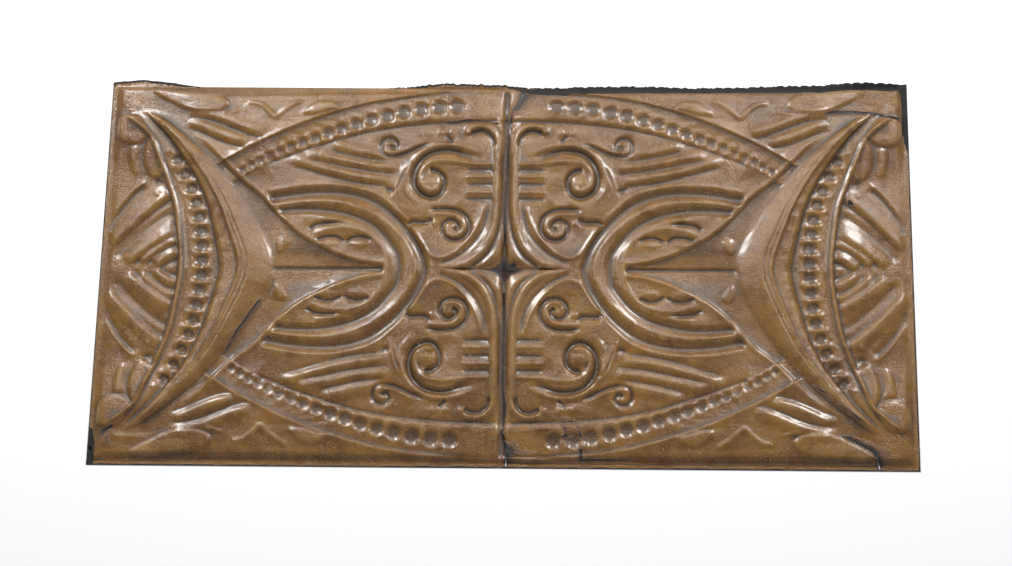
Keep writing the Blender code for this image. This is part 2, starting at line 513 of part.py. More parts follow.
def side_field(u, v, past_foot, past_outer):
    """Bands, leaves and petal between the crescent and the short edge."""
    inside = ease(-past_outer / SIDE_WALL) * ease(past_foot / SIDE_WALL)
    z = -SIDE_FIELD_DROP * inside
    for line in SIDE_STEPS:
        z = z + STEP_RISE * step(line, u, v, STEP_RUN, STEP_WALL) * inside
    for line in SIDE_BANDS:
        z = z - STEP_RISE * FAINT * stroke(line, u, v, SIDE_BAND_WIDTH, 0.12, 0.1)
    z = z + RIDGE_RISE * stroke(SIDE_RIDGE, u, v, RIDGE_WIDTH * NARROW, 0.1, 0.2)
    z = z - SMALL_SCROLL_DEPTH * FAINT * spot(SIDE_POCKET, u, v)
    z = z + RIDGE_RISE * spot(SIDE_KNOB, u, v)
    z = z + LEAF_RISE * plate(LEAF_BY_RIDGE, u, v, LEAF_WALL)
    z = z + LEAF_RISE * FAINT * plate(OUTER_LEAF, u, v, LEAF_WALL)
    return z + LEAF_RISE * plate(PETAL, u, v, LEAF_WALL)


def spandrel(u, v, in_lens):
    """Leaves between the bead arc and the long edge."""
    z = LEAF_RISE * plate(TONGUE, u, v, LEAF_WALL)
    for line in SPANDREL_STEPS:
        z = z + STEP_RISE * step(line, u, v, STEP_RUN, STEP_WALL) * in_lens
    z = z + RIDGE_RISE * stroke(GULL_LINE, u, v, RIDGE_WIDTH * BROAD)
    z = z + LEAF_RISE * FAINT * plate(SCALLOP, u, v, LEAF_WALL)
    return z + RIDGE_RISE * FAINT * stroke(SPANDREL_RIDGE, u, v, RIDGE_WIDTH * NARROW, 0.2, 0.2)


def relief(u, v):
    """Height of the painted face over the nailing rim, for places in the quarter."""
    past_foot = -past(CRESCENT_FOOT, u, v)
    past_outer = past(CRESCENT_OUTER, u, v)
    in_lens = ease(0.5 - past_foot / FOOT_BLEND)
    z = FIELD_RISE + bead_arc(u, v, in_lens) + ring(u, v, in_lens)
    z = z + spine(u, v) + scrolls(u, v) + spandrel(u, v, in_lens)
    z = z + crescent(u, v, past_foot, past_outer) + bead_column(u, v)
    z = z + side_field(u, v, past_foot, past_outer)
    to_edge = np.minimum((PANEL_LENGTH / PANEL_WIDTH - u), (1 - v)) * HALF_REPEAT
    crown = CROWN_RISE * (1 - (u * HALF_REPEAT * 2 / PANEL_LENGTH) ** 2) * (1 - v ** 2)
    return (np.maximum(z, LOWEST_FLOOR) + crown) * ease((to_edge - RIM_WIDTH) / RIM_WALL)


def top_edge(x):
    """Place of the worn top edge at a place along the length."""
    places, reaches = zip(*TOP_EDGE)
    return np.interp(x / HALF_REPEAT, places, reaches) * PANEL_WIDTH / 2


def build_mesh_of(obj):
    """Mesh of an object as its modifiers leave it; the object itself is removed."""
    depsgraph = bpy.context.evaluated_depsgraph_get()
    mesh = bpy.data.meshes.new_from_object(obj.evaluated_get(depsgraph))
    bpy.data.objects.remove(obj)
    return mesh


def pattern_quarter():
    """Grid over a quarter of the pattern inside the rim, pressed to its heights and thinned."""
    reach_x = PANEL_LENGTH / 2 - RIM_WIDTH
    reach_y = PANEL_WIDTH / 2 - RIM_WIDTH
    bm = bmesh.new()
    bmesh.ops.create_grid(bm, x_segments=round(reach_x / GRID_STEP),
                          y_segments=round(reach_y / GRID_STEP), size=0.5)
    places = (np.array([vert.co[:2] for vert in bm.verts]) + 0.5) * (reach_x, reach_y)
    heights = relief(places[:, 0] / HALF_REPEAT, places[:, 1] / HALF_REPEAT)
    for vert, (x, y), z in zip(bm.verts, places, heights):
        vert.co = (x, y, z + SHEET_THICKNESS)
    bmesh.ops.triangulate(bm, faces=bm.faces[:])
    ratio = FACE_TRIANGLES / 4 / len(bm.faces)
    mesh = bpy.data.meshes.new("pattern_quarter")
    bm.to_mesh(mesh)
    bm.free()
    quarter = bpy.data.objects.new("pattern_quarter", mesh)
    bpy.context.scene.collection.objects.link(quarter)
    thin = quarter.modifiers.new("thin", "DECIMATE")
    thin.ratio = ratio
    return build_mesh_of(quarter)


def square_border(bm, reach_x, reach_y):
    """Put the quarter's border back on its four straight lines, the outer two at rim height."""
    for vert in {vert for edge in bm.edges if edge.is_boundary for vert in edge.verts}:
        gaps = (vert.co.x, vert.co.y, reach_x - vert.co.x, reach_y - vert.co.y)
        if abs(gaps[0]) < BORDER_REACH:
            vert.co.x = 0
        if abs(gaps[1]) < BORDER_REACH:
            vert.co.y = 0
        if abs(gaps[2]) < BORDER_REACH:
            vert.co.x = reach_x
            vert.co.z = SHEET_THICKNESS
        if abs(gaps[3]) < BORDER_REACH:
            vert.co.y = reach_y
            vert.co.z = SHEET_THICKNESS


def add_rim(bm, reach_x, reach_y):
    """Flat nailing rim, drawn out from the quarter's two outer borders."""
    outer = [edge for edge in bm.edges if edge.is_boundary
             and (all(vert.co.x == edge.verts[0].co.x > reach_x - BORDER_REACH for vert in edge.verts)
                  or all(vert.co.y == edge.verts[0].co.y > reach_y - BORDER_REACH
                         for vert in edge.verts))]
    made = bmesh.ops.extrude_edge_only(bm, edges=outer)["geom"]
    for vert in (item for item in made if isinstance(item, bmesh.types.BMVert)):
        on_end = vert.co.x > reach_x - BORDER_REACH
        on_side = vert.co.y > reach_y - BORDER_REACH
        vert.co.x += RIM_WIDTH if on_end else 0
        vert.co.y += RIM_WIDTH if on_side else 0


def wear_top_edge(bm):
    """Draw the far border in to its worn line, with a corner at each of the line's points."""
    rim_line = PANEL_WIDTH / 2 - RIM_WIDTH - BORDER_REACH
    for place, _ in TOP_EDGE[1:-1]:
        strip = [face for face in bm.faces if all(vert.co.y > rim_line for vert in face.verts)]
        geometry = {item for face in strip for item in (face, *face.edges, *face.verts)}
        bmesh.ops.bisect_plane(bm, geom=list(geometry), dist=1e-5,
                               plane_co=(place * HALF_REPEAT, 0, 0), plane_no=(1, 0, 0))
    start = WORN_FROM * PANEL_WIDTH / 2
    for vert in bm.verts:
        if vert.co.y > start:
            share = (vert.co.y - start) / (PANEL_WIDTH / 2 - start)
            vert.co.y = start + share * (float(top_edge(vert.co.x)) - start)


def sheet_mesh():
    """Whole sheet: four mirrored quarters with their rim, given the sheet's thickness."""
    reach_x = PANEL_LENGTH / 2 - RIM_WIDTH
    reach_y = PANEL_WIDTH / 2 - RIM_WIDTH
    mesh = pattern_quarter()
    bm = bmesh.new()
    bm.from_mesh(mesh)
    square_border(bm, reach_x, reach_y)
    add_rim(bm, reach_x, reach_y)
    bm.to_mesh(mesh)
    bm.free()
    whole = bpy.data.objects.new("whole_sheet", mesh)
    bpy.context.scene.collection.objects.link(whole)
    mirror = whole.modifiers.new("four_quarters", "MIRROR")
    mirror.use_axis = (True, True, False)
    mirror.merge_threshold = 0.0001
    mesh = build_mesh_of(whole)

    bm = bmesh.new()
    bm.from_mesh(mesh)
    wear_top_edge(bm)
    bmesh.ops.triangulate(bm, faces=bm.faces[:])
    made = bmesh.ops.extrude_face_region(bm, geom=bm.faces[:])["geom"]
    lower = [item for item in made if isinstance(item, bmesh.types.BMVert)]
    bmesh.ops.translate(bm, verts=lower, vec=(0, 0, -SHEET_THICKNESS))
    bmesh.ops.recalc_face_normals(bm, faces=bm.faces[:])
    bm.to_mesh(mesh)
    bm.free()
    return mesh


def hole_cutter(name, hole, ragged, collection):
    """Upright prism that cuts one nail hole; ragged is how far its corners stray."""
    x, y, half_x, half_y = hole
    bm = bmesh.new()
    bmesh.ops.create_cone(bm, cap_ends=True, segments=HOLE_SIDES, radius1=1, radius2=1,
                          depth=2 * CUT_REACH)
    for vert in bm.verts:
        angle = math.atan2(vert.co.y, vert.co.x)
        stray = 1 + ragged * math.sin(3 * angle + 0.6)
        vert.co.x = x + vert.co.x * half_x * stray
        vert.co.y = y + vert.co.y * half_y * stray
    mesh = bpy.data.meshes.new(name)
    bm.to_mesh(mesh)
    bm.free()
    cutter = bpy.data.objects.new(name, mesh)
    cutter.hide_render = True
    cutter.display_type = "WIRE"
    collection.objects.link(cutter)
    return cutter


def paint_material():
    """Old brown paint over the tin."""
    material = bpy.data.materials.new("brown_paint")
    material.use_nodes = True
    shader = material.node_tree.nodes["Principled BSDF"]
    shader.inputs["Base Color"].default_value = PAINT_COLOUR
    shader.inputs["Roughness"].default_value = PAINT_ROUGHNESS
    shader.inputs["Metallic"].default_value = PAINT_METALLIC
    return material


def new_collection(name):
    """Collection of that name in the scene."""
    collection = bpy.data.collections.new(name)
    bpy.context.scene.collection.children.link(collection)
    return collection


def main():
    """Build the pressed sheet and cut its nail holes."""
    for obj in list(bpy.data.objects):
        bpy.data.objects.remove(obj)
    tile_parts = new_collection("tin_ceiling_tile")
    cutters = new_collection("cutters")
    mesh = sheet_mesh()
    mesh.name = "pressed_sheet"
    mesh.materials.clear()
    mesh.materials.append(paint_material())
    sheet = bpy.data.objects.new("pressed_sheet", mesh)
    tile_parts.objects.link(sheet)
    mesh.shade_smooth()
    mesh.set_sharp_from_angle(angle=math.radians(SHARP_ANGLE))
    for name, hole, ragged in (("centre_hole", CENTRE_HOLE, CENTRE_RAGGED),
                               ("spine_nail_hole", SPINE_NAIL, 0),
                               ("side_nail_hole", SIDE_NAIL, 0)):
        cut = sheet.modifiers.new(name, "BOOLEAN")
        cut.operation = "DIFFERENCE"
        cut.object = hole_cutter(name, hole, ragged, cutters)


if __name__ == "__main__":
    main()
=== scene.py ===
"""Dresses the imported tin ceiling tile: pressed relief, old brown paint, light and camera."""
from __future__ import annotations

import logging
import math
from dataclasses import dataclass
from enum import Enum

import bmesh
import bpy
import numpy as np
from mathutils import Matrix, Vector


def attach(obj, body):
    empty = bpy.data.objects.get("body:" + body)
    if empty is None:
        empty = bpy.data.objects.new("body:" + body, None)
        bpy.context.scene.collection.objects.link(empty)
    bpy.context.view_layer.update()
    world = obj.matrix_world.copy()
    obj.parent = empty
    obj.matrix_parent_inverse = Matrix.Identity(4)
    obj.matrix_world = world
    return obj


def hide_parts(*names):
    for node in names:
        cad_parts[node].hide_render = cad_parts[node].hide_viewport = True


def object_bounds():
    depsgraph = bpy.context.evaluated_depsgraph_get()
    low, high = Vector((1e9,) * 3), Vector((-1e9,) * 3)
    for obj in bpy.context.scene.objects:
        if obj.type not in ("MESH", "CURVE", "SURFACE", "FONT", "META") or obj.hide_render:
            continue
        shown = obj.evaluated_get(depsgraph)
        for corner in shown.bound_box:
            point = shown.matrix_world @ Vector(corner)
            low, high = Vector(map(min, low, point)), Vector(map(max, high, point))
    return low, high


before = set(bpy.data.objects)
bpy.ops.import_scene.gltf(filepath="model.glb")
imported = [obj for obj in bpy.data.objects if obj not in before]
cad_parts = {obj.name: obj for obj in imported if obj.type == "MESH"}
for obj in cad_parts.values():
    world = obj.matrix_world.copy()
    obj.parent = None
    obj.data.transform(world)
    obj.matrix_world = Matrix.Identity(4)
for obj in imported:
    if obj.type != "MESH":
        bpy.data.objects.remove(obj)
CAD_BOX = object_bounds()

LOG = logging.getLogger("tin_ceiling_tile")
Points = tuple[tuple[float, ...], ...]
MM_IN_METRE = 1000


class Mask(str, Enum):
    """What the mesh keeps on every vertex for the paint."""

    HOLLOW = "hollow"
    CREVICE = "crevice"
    BARE = "bare"
    SPLIT = "split"
    PIT = "pit"
    PATCH = "patch"
    BACK = "back"


class Sum(str, Enum):
    """Sums of two numbers that the shader works out."""

    ADD = "ADD"
    SUBTRACT = "SUBTRACT"
    MULTIPLY = "MULTIPLY"


@dataclass(frozen=True)
class Sheet:
    """Sizes of the whole tin sheet, in metres.

    The pattern is the same in all four quarters. Its lines are written for the quarter
    with positive x and y, in shares of half a repeat, and its heights in metres.
    """

    length: float = 1.2192
    width: float = 0.6096
    thickness: float = 0.0005
    rim: float = 0.006
    rim_wall: float = 0.013
    crown: float = 0.003
    grid_step: float = 0.0016
    front_triangles: int = 77000

    @property
    def half_repeat(self) -> float:
        """Half the side of one square repeat."""
        return self.width / 2


SHEET = Sheet()


def ease(x: np.ndarray) -> np.ndarray:
    """Smooth step from 0 to 1."""
    x = np.clip(x, 0, 1)
    return x * x * (3 - 2 * x)


def round_bar(gap: np.ndarray, width: float) -> np.ndarray:
    """Rounded cross-section, 1 at the middle and 0 at half the width."""
    return np.where(gap < width / 2, np.cos(np.pi * gap / width) ** 2, 0)


def smooth_curve(points: Points, steps: int = 5) -> np.ndarray:
    """Catmull-Rom curve through points.

    Args:
        points: The points that the shape needs.
        steps: Short straight runs between two points.

    Returns:
        The curve's points, one row each.
    """
    p = np.array(points, float)
    p = np.vstack((2 * p[0] - p[1], p, 2 * p[-1] - p[-2]))
    t = np.linspace(0, 1, steps, endpoint=False)[:, None]
    parts = []
    for a, b, c, d in zip(p[:-3], p[1:-2], p[2:-1], p[3:]):
        parts.append(0.5 * (2 * b + (c - a) * t + (2 * a - 5 * b + 4 * c - d) * t ** 2
                            + (3 * b - a - 3 * c + d) * t ** 3))
    return np.vstack(parts + [p[-2:-1]])


def closed_curve(points: Points, steps: int = 5) -> np.ndarray:
    """Smooth closed outline through points.

    Args:
        points: Corners of the outline, in order.
        steps: Short straight runs between two points.

    Returns:
        The outline's points, the first one again at the end.
    """
    count = len(points)
    ring = tuple(points[k % count] for k in range(-1, count + 2))
    curve = smooth_curve(ring, steps)
    return curve[steps:steps * (count + 1) + 1]


class Places:
    """Places of the folded quarter, and the shapes that a line presses into them."""

    def __init__(self, u: np.ndarray, v: np.ndarray) -> None:
        """Keep the places.

        Args:
            u: Shares along the length.
            v: Shares across the width.
        """
        self.u = u
        self.v = v

    def near(self, curve: np.ndarray, reach: float) -> np.ndarray:
        """Mask of the places within a reach in metres of a curve's box.

        Args:
            curve: The curve's points.
            reach: Metres beyond its box.

        Returns:
            One mask for all places.
        """
        low = curve.min(axis=0) - reach / SHEET.half_repeat
        high = curve.max(axis=0) + reach / SHEET.half_repeat
        return ((self.u > low[0]) & (self.u < high[0]) & (self.v > low[1])
                & (self.v < high[1]))

    def along(self, curve: np.ndarray, mask: np.ndarray | None = None) \
            -> tuple[np.ndarray, np.ndarray, np.ndarray]:
        """Measure the places against a curve.

        Args:
            curve: The curve's points.
            mask: Places to measure, or None for all.

        Returns:
            Distance in metres, side (positive left of travel) and share of the length.
        """
        u = self.u if mask is None else self.u[mask]
        v = self.v if mask is None else self.v[mask]
        best = np.full(u.shape, 1e9)
        side = np.ones(u.shape)
        share = np.zeros(u.shape)
        lengths = np.hypot(*np.diff(curve, axis=0).T)
        starts = np.concatenate(([0], np.cumsum(lengths)))
        for (au, av), (bu, bv), run, start in zip(curve[:-1], curve[1:], lengths, starts):
            du, dv = bu - au, bv - av
            t = np.clip(((u - au) * du + (v - av) * dv) / run ** 2, 0, 1)
            gap = np.hypot(u - au - t * du, v - av - t * dv)
            closer = gap < best
            best = np.where(closer, gap, best)
            side = np.where(closer, np.sign(du * (v - av) - dv * (u - au)), side)
            share = np.where(closer, (start + t * run) / starts[-1], share)
        return best * SHEET.half_repeat, side, share

    def past(self, points: Points) -> np.ndarray:
        """Signed distance in metres to an open line, positive left of travel."""
        gap, side, _ = self.along(smooth_curve(points))
        return gap * side

    def stroke(self, points: Points, width: float, start: float = 0.08,
               end: float = 0.08) -> np.ndarray:
        """Rounded bar along a line.

        Args:
            points: The line.
            width: Width of the bar in metres.
            start: Share of the length over which it fades in.
            end: Share of the length over which it fades out.

        Returns:
            Height at every place, 1 on the line.
        """
        curve = smooth_curve(points)
        mask = self.near(curve, width / 2)
        gap, _, share = self.along(curve, mask)
        fade = ease(share / max(start, 1e-6)) * ease((1 - share) / max(end, 1e-6))
        bar = np.zeros(self.u.shape)
        bar[mask] = round_bar(gap, width) * fade
        return bar

    def step(self, points: Points, run: float, wall: float) -> np.ndarray:
        """Edge left of a line that slopes back to nothing, with its root on the line.

        Args:
            points: The line.
            run: Length of the slope in metres.
            wall: Half the width of the edge's steep side in metres.

        Returns:
            Height at every place, about 1 on the edge.
        """
        curve = smooth_curve(points)
        mask = self.near(curve, run)
        gap, side, share = self.along(curve, mask)
        past = gap * side
        rise = ease((past + wall) / (2 * wall)) * (1 - ease((past - wall) / run))
        root = round_bar(np.abs(past + wall), 3 * wall)
        fade = ease(share / LINES.step_start) * ease((1 - share) / LINES.step_end)
        inside = (share > LINES.step_tip) & (share < 1 - LINES.step_tip)
        bar = np.zeros(self.u.shape)
        bar[mask] = np.where(inside, (rise - LINES.step_root * root) * fade, 0)
        return bar

    def plate(self, points: Points, wall: float) -> np.ndarray:
        """Raised leaf with soft walls inside a closed outline.

        Args:
            points: Corners of the outline.
            wall: Width of its walls in metres.

        Returns:
            Height at every place, 1 inside.
        """
        curve = closed_curve(points)
        mask = self.near(curve, wall)
        u, v = self.u[mask], self.v[mask]
        gap, _, _ = self.along(curve, mask)
        inside = np.zeros(u.shape, bool)
        for (au, av), (bu, bv) in zip(curve[:-1], curve[1:]):
            crosses = (av > v) != (bv > v)
            inside ^= crosses & (u < au + (v - av) / (bv - av + 1e-12) * (bu - au))
        bar = np.zeros(self.u.shape)
        bar[mask] = ease(0.5 + np.where(inside, gap, -gap) / wall)
        return bar

    def spot(self, shape: tuple[float, ...]) -> np.ndarray:
        """Domed ellipse.

        Args:
            shape: Centre, half sizes and turn in degrees.

        Returns:
            Height at every place, 1 at its centre.
        """
        cu, cv, a, b, turn = shape
        c, s = math.cos(math.radians(turn)), math.sin(math.radians(turn))
        p = ((self.u - cu) * c + (self.v - cv) * s) / a
        q = ((self.v - cv) * c - (self.u - cu) * s) / b
        return ease(1 - np.sqrt(p * p + q * q))

    def dimple(self, cu: float, cv: float, diameter: float) -> np.ndarray:
        """Round dimple with a small flat floor, 1 on its floor."""
        r = np.hypot(self.u - cu, self.v - cv) * SHEET.half_repeat
        return ease((diameter / 2 - r) / (LINES.bead_wall * diameter))


@dataclass(frozen=True)
class Lines:
    """Field level over the nailing rim, and the sizes that the pattern's lines share."""

    field_rise: float = 0.0055
    lowest_floor: float = 0.0005
    foot_blend: float = 0.012
    ridge_rise: float = 0.0017
    ridge_width: float = 0.0100
    small_scroll_depth: float = 0.0038
    small_scroll_width: float = 0.0115
    step_rise: float = 0.0026
    step_run: float = 0.017
    step_wall: float = 0.0055
    step_root: float = 0.45
    step_start: float = 0.10
    step_end: float = 0.14
    step_tip: float = 0.001
    leaf_rise: float = 0.0028
    leaf_wall: float = 0.007
    bead_wall: float = 0.26
    faint: float = 0.8
    narrow: float = 0.85
    broad: float = 1.3

    @property
    def faint_rise(self) -> float:
        """Rise of a faint ridge."""
        return self.ridge_rise * self.faint

    @property
    def faint_depth(self) -> float:
        """Depth of a faint scroll or pocket."""
        return self.small_scroll_depth * self.faint

    @property
    def narrow_width(self) -> float:
        """Width of a narrow ridge."""
        return self.ridge_width * self.narrow

    @property
    def broad_width(self) -> float:
        """Width of a broad ridge or groove."""
        return self.ridge_width * self.broad


LINES = Lines()


@dataclass(frozen=True)
class Ring:
    """Double channel that rounds each end of the long axis, and the lens field inside it."""

    channel_depth: float = 0.0044
    channel_width: float = 0.026
    inner_channel_depth: float = 0.004
    inner_channel_width: float = 0.023
    ring_ridge_rise: float = 0.0012
    ring_ridge_width: float = 0.013
    soft_band_depth: float = 0.0022
    soft_band_wall: float = 0.007
    soft_band_end: float = 0.72
    soft_band_fade: float = 0.15
    lens_fade: float = 0.03
    axis_crease_depth: float = 0.002
    axis_crease_width: float = 0.011
    lens_start: float = 0.585
    ring_crest: Points = (
        (0.36, 0.0), (0.385, 0.08), (0.43, 0.165), (0.485, 0.24), (0.55, 0.315), (0.62, 0.38),
        (0.7, 0.413), (0.8, 0.435), (0.9, 0.443), (1.0, 0.438), (1.1, 0.422), (1.2, 0.4),
    )
    outer_channel: Points = (
        (0.39, -0.02), (0.41, 0.06), (0.45, 0.145), (0.51, 0.23), (0.57, 0.29), (0.64, 0.342),
        (0.73, 0.38), (0.85, 0.4), (0.95, 0.4), (1.05, 0.39), (1.19, 0.363),
    )
    ring_land: Points = (
        (0.445, -0.02), (0.46, 0.08), (0.5, 0.15), (0.56, 0.217), (0.63, 0.272), (0.7, 0.31),
        (0.8, 0.342), (0.9, 0.355), (1.0, 0.35), (1.1, 0.336), (1.19, 0.325),
    )
    inner_channel: Points = (
        (0.515, -0.02), (0.527, 0.07), (0.56, 0.125), (0.61, 0.19), (0.68, 0.245), (0.77, 0.282),
        (0.87, 0.305), (0.97, 0.313), (1.05, 0.31), (1.14, 0.298),
    )
    lens_edge: Points = (
        (0.585, -0.02), (0.592, 0.06), (0.61, 0.11), (0.645, 0.158), (0.69, 0.19), (0.74, 0.208),
        (0.8, 0.215), (0.88, 0.205), (0.97, 0.17),
    )
    soft_band_edge: Points = (
        (0.58, 0.03), (0.68, 0.042), (0.78, 0.07), (0.85, 0.098), (0.95, 0.15), (1.02, 0.195),
        (1.1, 0.268), (1.16, 0.335), (1.22, 0.403), (1.3, 0.463), (1.4, 0.565), (1.5, 0.665),
        (1.6, 0.755),
    )
    lens_leaf: Points = ((0.81, 0.236), (0.87, 0.237), (0.93, 0.23), (0.968, 0.205))
    lens_leaf_ridge: Points = ((0.79, 0.245), (0.86, 0.258), (0.93, 0.262))
    moustache: tuple[Points, ...] = (
        ((0.655, 0.148), (0.71, 0.165), (0.755, 0.158), (0.79, 0.135)),
        ((0.79, 0.135), (0.83, 0.163), (0.88, 0.166), (0.94, 0.145)),
    )
    moustache_bellies: Points = ((0.715, 0.125, 0.06, 0.026, 0.0), (0.87, 0.128, 0.06, 0.024, 8.0))
    band_leaf: Points = ((1.068, 0.142), (1.092, 0.165), (1.125, 0.14), (1.118, 0.085), (1.095, 0.095))

    def height(self, at: Places, in_lens: np.ndarray) -> np.ndarray:
        """Heights that the ring adds.

        Args:
            at: Places of the quarter.
            in_lens: 1 on the lens side of the crescent's foot, 0 beyond it.

        Returns:
            Metres to add at every place.
        """
        z = -self.channel_depth * at.stroke(self.outer_channel, self.channel_width, 0.0, 0.04)
        z = z - self.inner_channel_depth * at.stroke(self.inner_channel,
                                                     self.inner_channel_width, 0.0, 0.05)
        for line in (self.ring_crest, self.ring_land, self.lens_edge):
            z = z + self.ring_ridge_rise * at.stroke(line, self.ring_ridge_width, 0.0, 0.1)
        inside = (ease((at.u - self.lens_start) / self.lens_fade) * in_lens
                  * ease((self.soft_band_end - at.v) / self.soft_band_fade))
        z = z - self.soft_band_depth * inside * ease(-at.past(self.soft_band_edge)
                                                     / self.soft_band_wall)
        z = z + LINES.faint_rise * at.stroke(self.soft_band_edge, LINES.broad_width, 0.02, 0.3)
        z = z - self.axis_crease_depth * inside * round_bar(at.v * SHEET.half_repeat,
                                                            self.axis_crease_width)
        z = z + LINES.leaf_rise * LINES.faint * at.plate(self.band_leaf, LINES.leaf_wall)
        z = z - LINES.faint_depth * at.stroke(self.lens_leaf, LINES.small_scroll_width, 0.35, 0.05)
        z = z + LINES.faint_rise * at.stroke(self.lens_leaf_ridge, LINES.ridge_width, 0.2, 0.2)
        for arc in self.moustache:
            z = z - LINES.faint_depth * at.stroke(arc, LINES.ridge_width, 0.15, 0.15)
        for belly in self.moustache_bellies:
            z = z + LINES.ridge_rise * at.spot(belly)
        return z


@dataclass(frozen=True)
class Spine:
    """Groove down the middle with a loop and a framed field on each side."""

    spine_depth: float = 0.004
    spine_width: float = 0.016
    spine_end: float = 0.97
    spine_fade: float = 0.04
    star_drop: float = 0.003
    star: tuple[float, ...] = (0.25, 0.17)
    star_fade: float = 0.25
    loop_rise: float = 0.0032
    loop_width: float = 0.018
    loop_shadow_depth: float = 0.002
    loop_shadow_width: float = 0.013
    hook_depth: float = 0.0036
    loop_line: Points = (
        (0.197, 0.705), (0.186, 0.742), (0.14, 0.757), (0.09, 0.748), (0.058, 0.715), (0.047, 0.66),
        (0.043, 0.56), (0.043, 0.4), (0.045, 0.3), (0.055, 0.22), (0.075, 0.16), (0.105, 0.1),
        (0.15, 0.055), (0.2, 0.026), (0.27, 0.004),
    )
    loop_shadow: Points = (
        (0.016, 0.62), (0.018, 0.4), (0.022, 0.27), (0.034, 0.19), (0.06, 0.115), (0.09, 0.068),
        (0.13, 0.032), (0.18, 0.006),
    )
    hook_line: Points = (
        (0.062, 0.64), (0.068, 0.69), (0.095, 0.722), (0.13, 0.733), (0.165, 0.722), (0.178, 0.7),
    )
    hook_ball: tuple[float, ...] = (0.195, 0.718, 0.022, 0.02, 0.0)
    frame_groove: Points = (
        (0.088, 0.34), (0.093, 0.27), (0.113, 0.2), (0.15, 0.14), (0.2, 0.088), (0.26, 0.05),
        (0.33, 0.02),
    )
    frame_ridge: Points = (
        (0.105, 0.34), (0.118, 0.275), (0.14, 0.222), (0.168, 0.172), (0.205, 0.124), (0.25, 0.083),
        (0.31, 0.057), (0.352, 0.064), (0.385, 0.096), (0.413, 0.142), (0.442, 0.188), (0.468, 0.222),
    )
    bar_ridges: tuple[float, ...] = (0.555, 0.485, 0.402)
    bar_grooves: tuple[float, ...] = (0.521, 0.445, 0.366)
    bar_reach: tuple[float, ...] = (0.062, 0.205)
    buds: Points = ((0.272, 0.722, 0.026, 0.022, 70.0), (0.332, 0.72, 0.026, 0.022, 110.0))
    bud_shadow: Points = ((0.305, 0.712), (0.288, 0.688), (0.268, 0.662))

    def height(self, at: Places) -> np.ndarray:
        """Metres that the spine and its loops add at every place.

        Args:
            at: Places of the quarter.

        Returns:
            Metres to add at every place.
        """
        star = (np.sqrt(np.clip(at.u / self.star[0], 0, None))
                + np.sqrt(np.clip(at.v / self.star[1], 0, None)))
        z = -self.star_drop * ease((1 + self.star_fade / 2 - star) / self.star_fade)
        z = z - (self.spine_depth * round_bar(at.u * SHEET.half_repeat, self.spine_width)
                 * ease((self.spine_end - at.v) / self.spine_fade))
        z = z - self.loop_shadow_depth * at.stroke(self.loop_shadow, self.loop_shadow_width,
                                                   0.05, 0.05)
        z = z + self.loop_rise * at.stroke(self.loop_line, self.loop_width, 0.02, 0.10)
        z = z - self.hook_depth * at.stroke(self.hook_line, LINES.small_scroll_width, 0.15, 0.1)
        z = z + LINES.ridge_rise * at.spot(self.hook_ball)
        return z + self.framed_field(at)

    def framed_field(self, at: Places) -> np.ndarray:
        """Metres that the framed field's lines, bars and buds add at every place.

        Args:
            at: Places of the quarter.

        Returns:
            Metres to add at every place.
        """
        z = -LINES.ridge_rise * at.stroke(self.frame_groove, LINES.broad_width, 0.15, 0.1)
        z = z + LINES.ridge_rise * at.stroke(self.frame_ridge, LINES.narrow_width, 0.05, 0.02)
        start, end = self.bar_reach
        for level in self.bar_ridges:
            z = z + LINES.ridge_rise * at.stroke(((start, level), (end, level)),
                                                 LINES.narrow_width, 0.1, 0.15)
        for level in self.bar_grooves:
            z = z - LINES.ridge_rise * at.stroke(((start, level), (end, level)),
                                                 LINES.broad_width, 0.1, 0.2)
        for bud in self.buds:
            z = z + LINES.ridge_rise * at.spot(bud)
        return z - LINES.faint_depth * at.stroke(self.bud_shadow, LINES.ridge_width, 0.2, 0.2)


